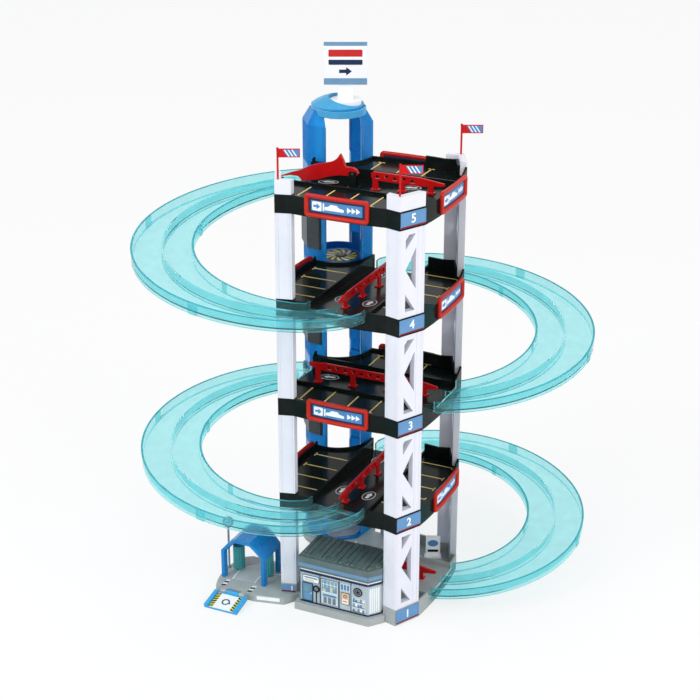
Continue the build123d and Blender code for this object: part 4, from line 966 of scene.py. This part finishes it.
def board_print(kit, centre, outline, lift=0.0, depth=0.35):
    """The same outline on both faces of a thin upright sign."""
    for face in (-1, 1):
        off = SIGN_OUT * face * (BOARD_FACE + lift)
        kit.slab([centre + SIGN_ALONG * x + UP * y + off for x, y in outline], SIGN_OUT * face * depth)


def ring_sign_print():
    """White faces with an arrow on the round sign."""
    low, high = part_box("ring_sign")
    centre = Vector(((low.x + high.x) / 2, (low.y + high.y) / 2, high.z - 8.0 * MM)) / MM
    white, mark = Kit(), Kit()
    board_print(white, centre, ellipse(5.4, 5.4))
    board_print(mark, centre, arrow(7.0, 5.0, 3.0, 2.0), 0.3, 0.25)
    white.build("ring_sign_face", "print_white", "tower", "ring_sign_blue")
    mark.build("ring_sign_arrow", "navy", "tower", "ring_sign_blue")


def stand_prints():
    """A blue oval over a dark bar on the small board at the back of the base."""
    centre = Vector((72.0, 76.0, BASE_TOP + 19.0))
    blue, dark = Kit(), Kit()
    board_print(blue, centre, [(x, y + 5) for x, y in ellipse(8.0, 5.5)])
    board_print(dark, centre, [(x, y - 8) for x, y in rounded(8.0, 2.0, 0.6)])
    blue.build("stand_oval", "blue_print", "tower", "sign_white")
    dark.build("stand_bar", "black", "tower", "sign_white")


# ================================================================ stage, light and camera
def set_floor():
    """A wide floor that camera and transmission rays see nearly white."""
    mesh = bpy.data.meshes.new("floor")
    mesh.from_pydata([(-9, -9, 0), (9, -9, 0), (9, 9, 0), (-9, 9, 0)], [], [(0, 1, 2, 3)])
    floor = bpy.data.objects.new("floor", mesh)
    bpy.context.scene.collection.objects.link(floor)
    mat = bpy.data.materials.new("floor_white")
    mat.use_nodes = True
    tree = mat.node_tree
    bsdf = tree.nodes["Principled BSDF"]
    bsdf.inputs["Base Color"].default_value = (0.90, 0.90, 0.91, 1)
    bsdf.inputs["Roughness"].default_value = 0.85
    bsdf.inputs["Specular IOR Level"].default_value = 0.1
    glow = node(tree, "ShaderNodeEmission", in_Color=(1, 1, 1, 1), in_Strength=1.0)
    mix = node(tree, "ShaderNodeMixShader")
    path = node(tree, "ShaderNodeLightPath")
    seen = node(tree, "ShaderNodeMath", operation="MAXIMUM")
    share = node(tree, "ShaderNodeMath", operation="MULTIPLY")
    share.inputs[1].default_value = FLOOR_GLOW
    tree.links.new(path.outputs["Is Camera Ray"], seen.inputs[0])
    tree.links.new(path.outputs["Is Transmission Ray"], seen.inputs[1])
    tree.links.new(seen.outputs[0], share.inputs[0])
    tree.links.new(share.outputs[0], mix.inputs[0])
    tree.links.new(bsdf.outputs[0], mix.inputs[1])
    tree.links.new(glow.outputs[0], mix.inputs[2])
    tree.links.new(mix.outputs[0], tree.nodes["Material Output"].inputs["Surface"])
    mesh.materials.append(mat)


def set_world():
    """Soft even light; camera, glossy and transmission rays see plain white."""
    world = bpy.data.worlds.new("studio")
    bpy.context.scene.world = world
    world.use_nodes = True
    tree = world.node_tree
    tree.nodes.clear()
    out = node(tree, "ShaderNodeOutputWorld")
    lit = node(tree, "ShaderNodeBackground", in_Color=(0.98, 0.985, 1.0, 1), in_Strength=WORLD_STRENGTH)
    seen_white = node(tree, "ShaderNodeBackground", in_Color=(1, 1, 1, 1), in_Strength=1.0)
    path = node(tree, "ShaderNodeLightPath")
    first = node(tree, "ShaderNodeMath", operation="MAXIMUM")
    second = node(tree, "ShaderNodeMath", operation="MAXIMUM")
    tree.links.new(path.outputs["Is Camera Ray"], first.inputs[0])
    tree.links.new(path.outputs["Is Transmission Ray"], first.inputs[1])
    tree.links.new(first.outputs[0], second.inputs[0])
    tree.links.new(path.outputs["Is Glossy Ray"], second.inputs[1])
    mix = node(tree, "ShaderNodeMixShader")
    tree.links.new(second.outputs[0], mix.inputs[0])
    tree.links.new(lit.outputs[0], mix.inputs[1])
    tree.links.new(seen_white.outputs[0], mix.inputs[2])
    tree.links.new(mix.outputs[0], out.inputs["Surface"])


def area_light(name, place, size, watts):
    data = bpy.data.lights.new(name, "AREA")
    data.shape = "DISK"
    data.size = size
    data.energy = watts
    obj = bpy.data.objects.new(name, data)
    bpy.context.scene.collection.objects.link(obj)
    obj.location = place
    obj.rotation_euler = (Vector(LIGHT_TARGET) - Vector(place)).to_track_quat("-Z", "Y").to_euler()


def camera():
    data = bpy.data.cameras.new("camera")
    data.sensor_width = 36.0
    data.lens = CAMERA_LENS
    data.clip_start, data.clip_end = 0.05, 50.0
    obj = bpy.data.objects.new("camera", data)
    bpy.context.scene.collection.objects.link(obj)
    obj.location = CAMERA_PLACE
    pitch = radians(CAMERA_PITCH)
    look = Vector(CAMERA_HEADING).normalized() * cos(pitch) - UP * sin(pitch)
    obj.rotation_euler = look.to_track_quat("-Z", "Y").to_euler()
    bpy.context.scene.camera = obj


bay_lines()
lane_stickers()
for level in FRAMES:
    sign_frames(level)
sign_prints()
number_plates()
column_ribs()
flag_prints()
roof_sign_prints()
turntable_print()
post_ribs()
bracket_skirt()
loop_details()
shop_prints()
roof_details()
base_prints()
ramp_prints()
ring_sign_print()
stand_prints()
set_floor()
set_world()
area_light("key", (-1.2, -2.2, 2.6), 1.5, 36)
area_light("fill", (2.7, -1.0, 1.6), 1.4, 27)
camera()
bpy.context.scene.view_settings.view_transform = "Standard"
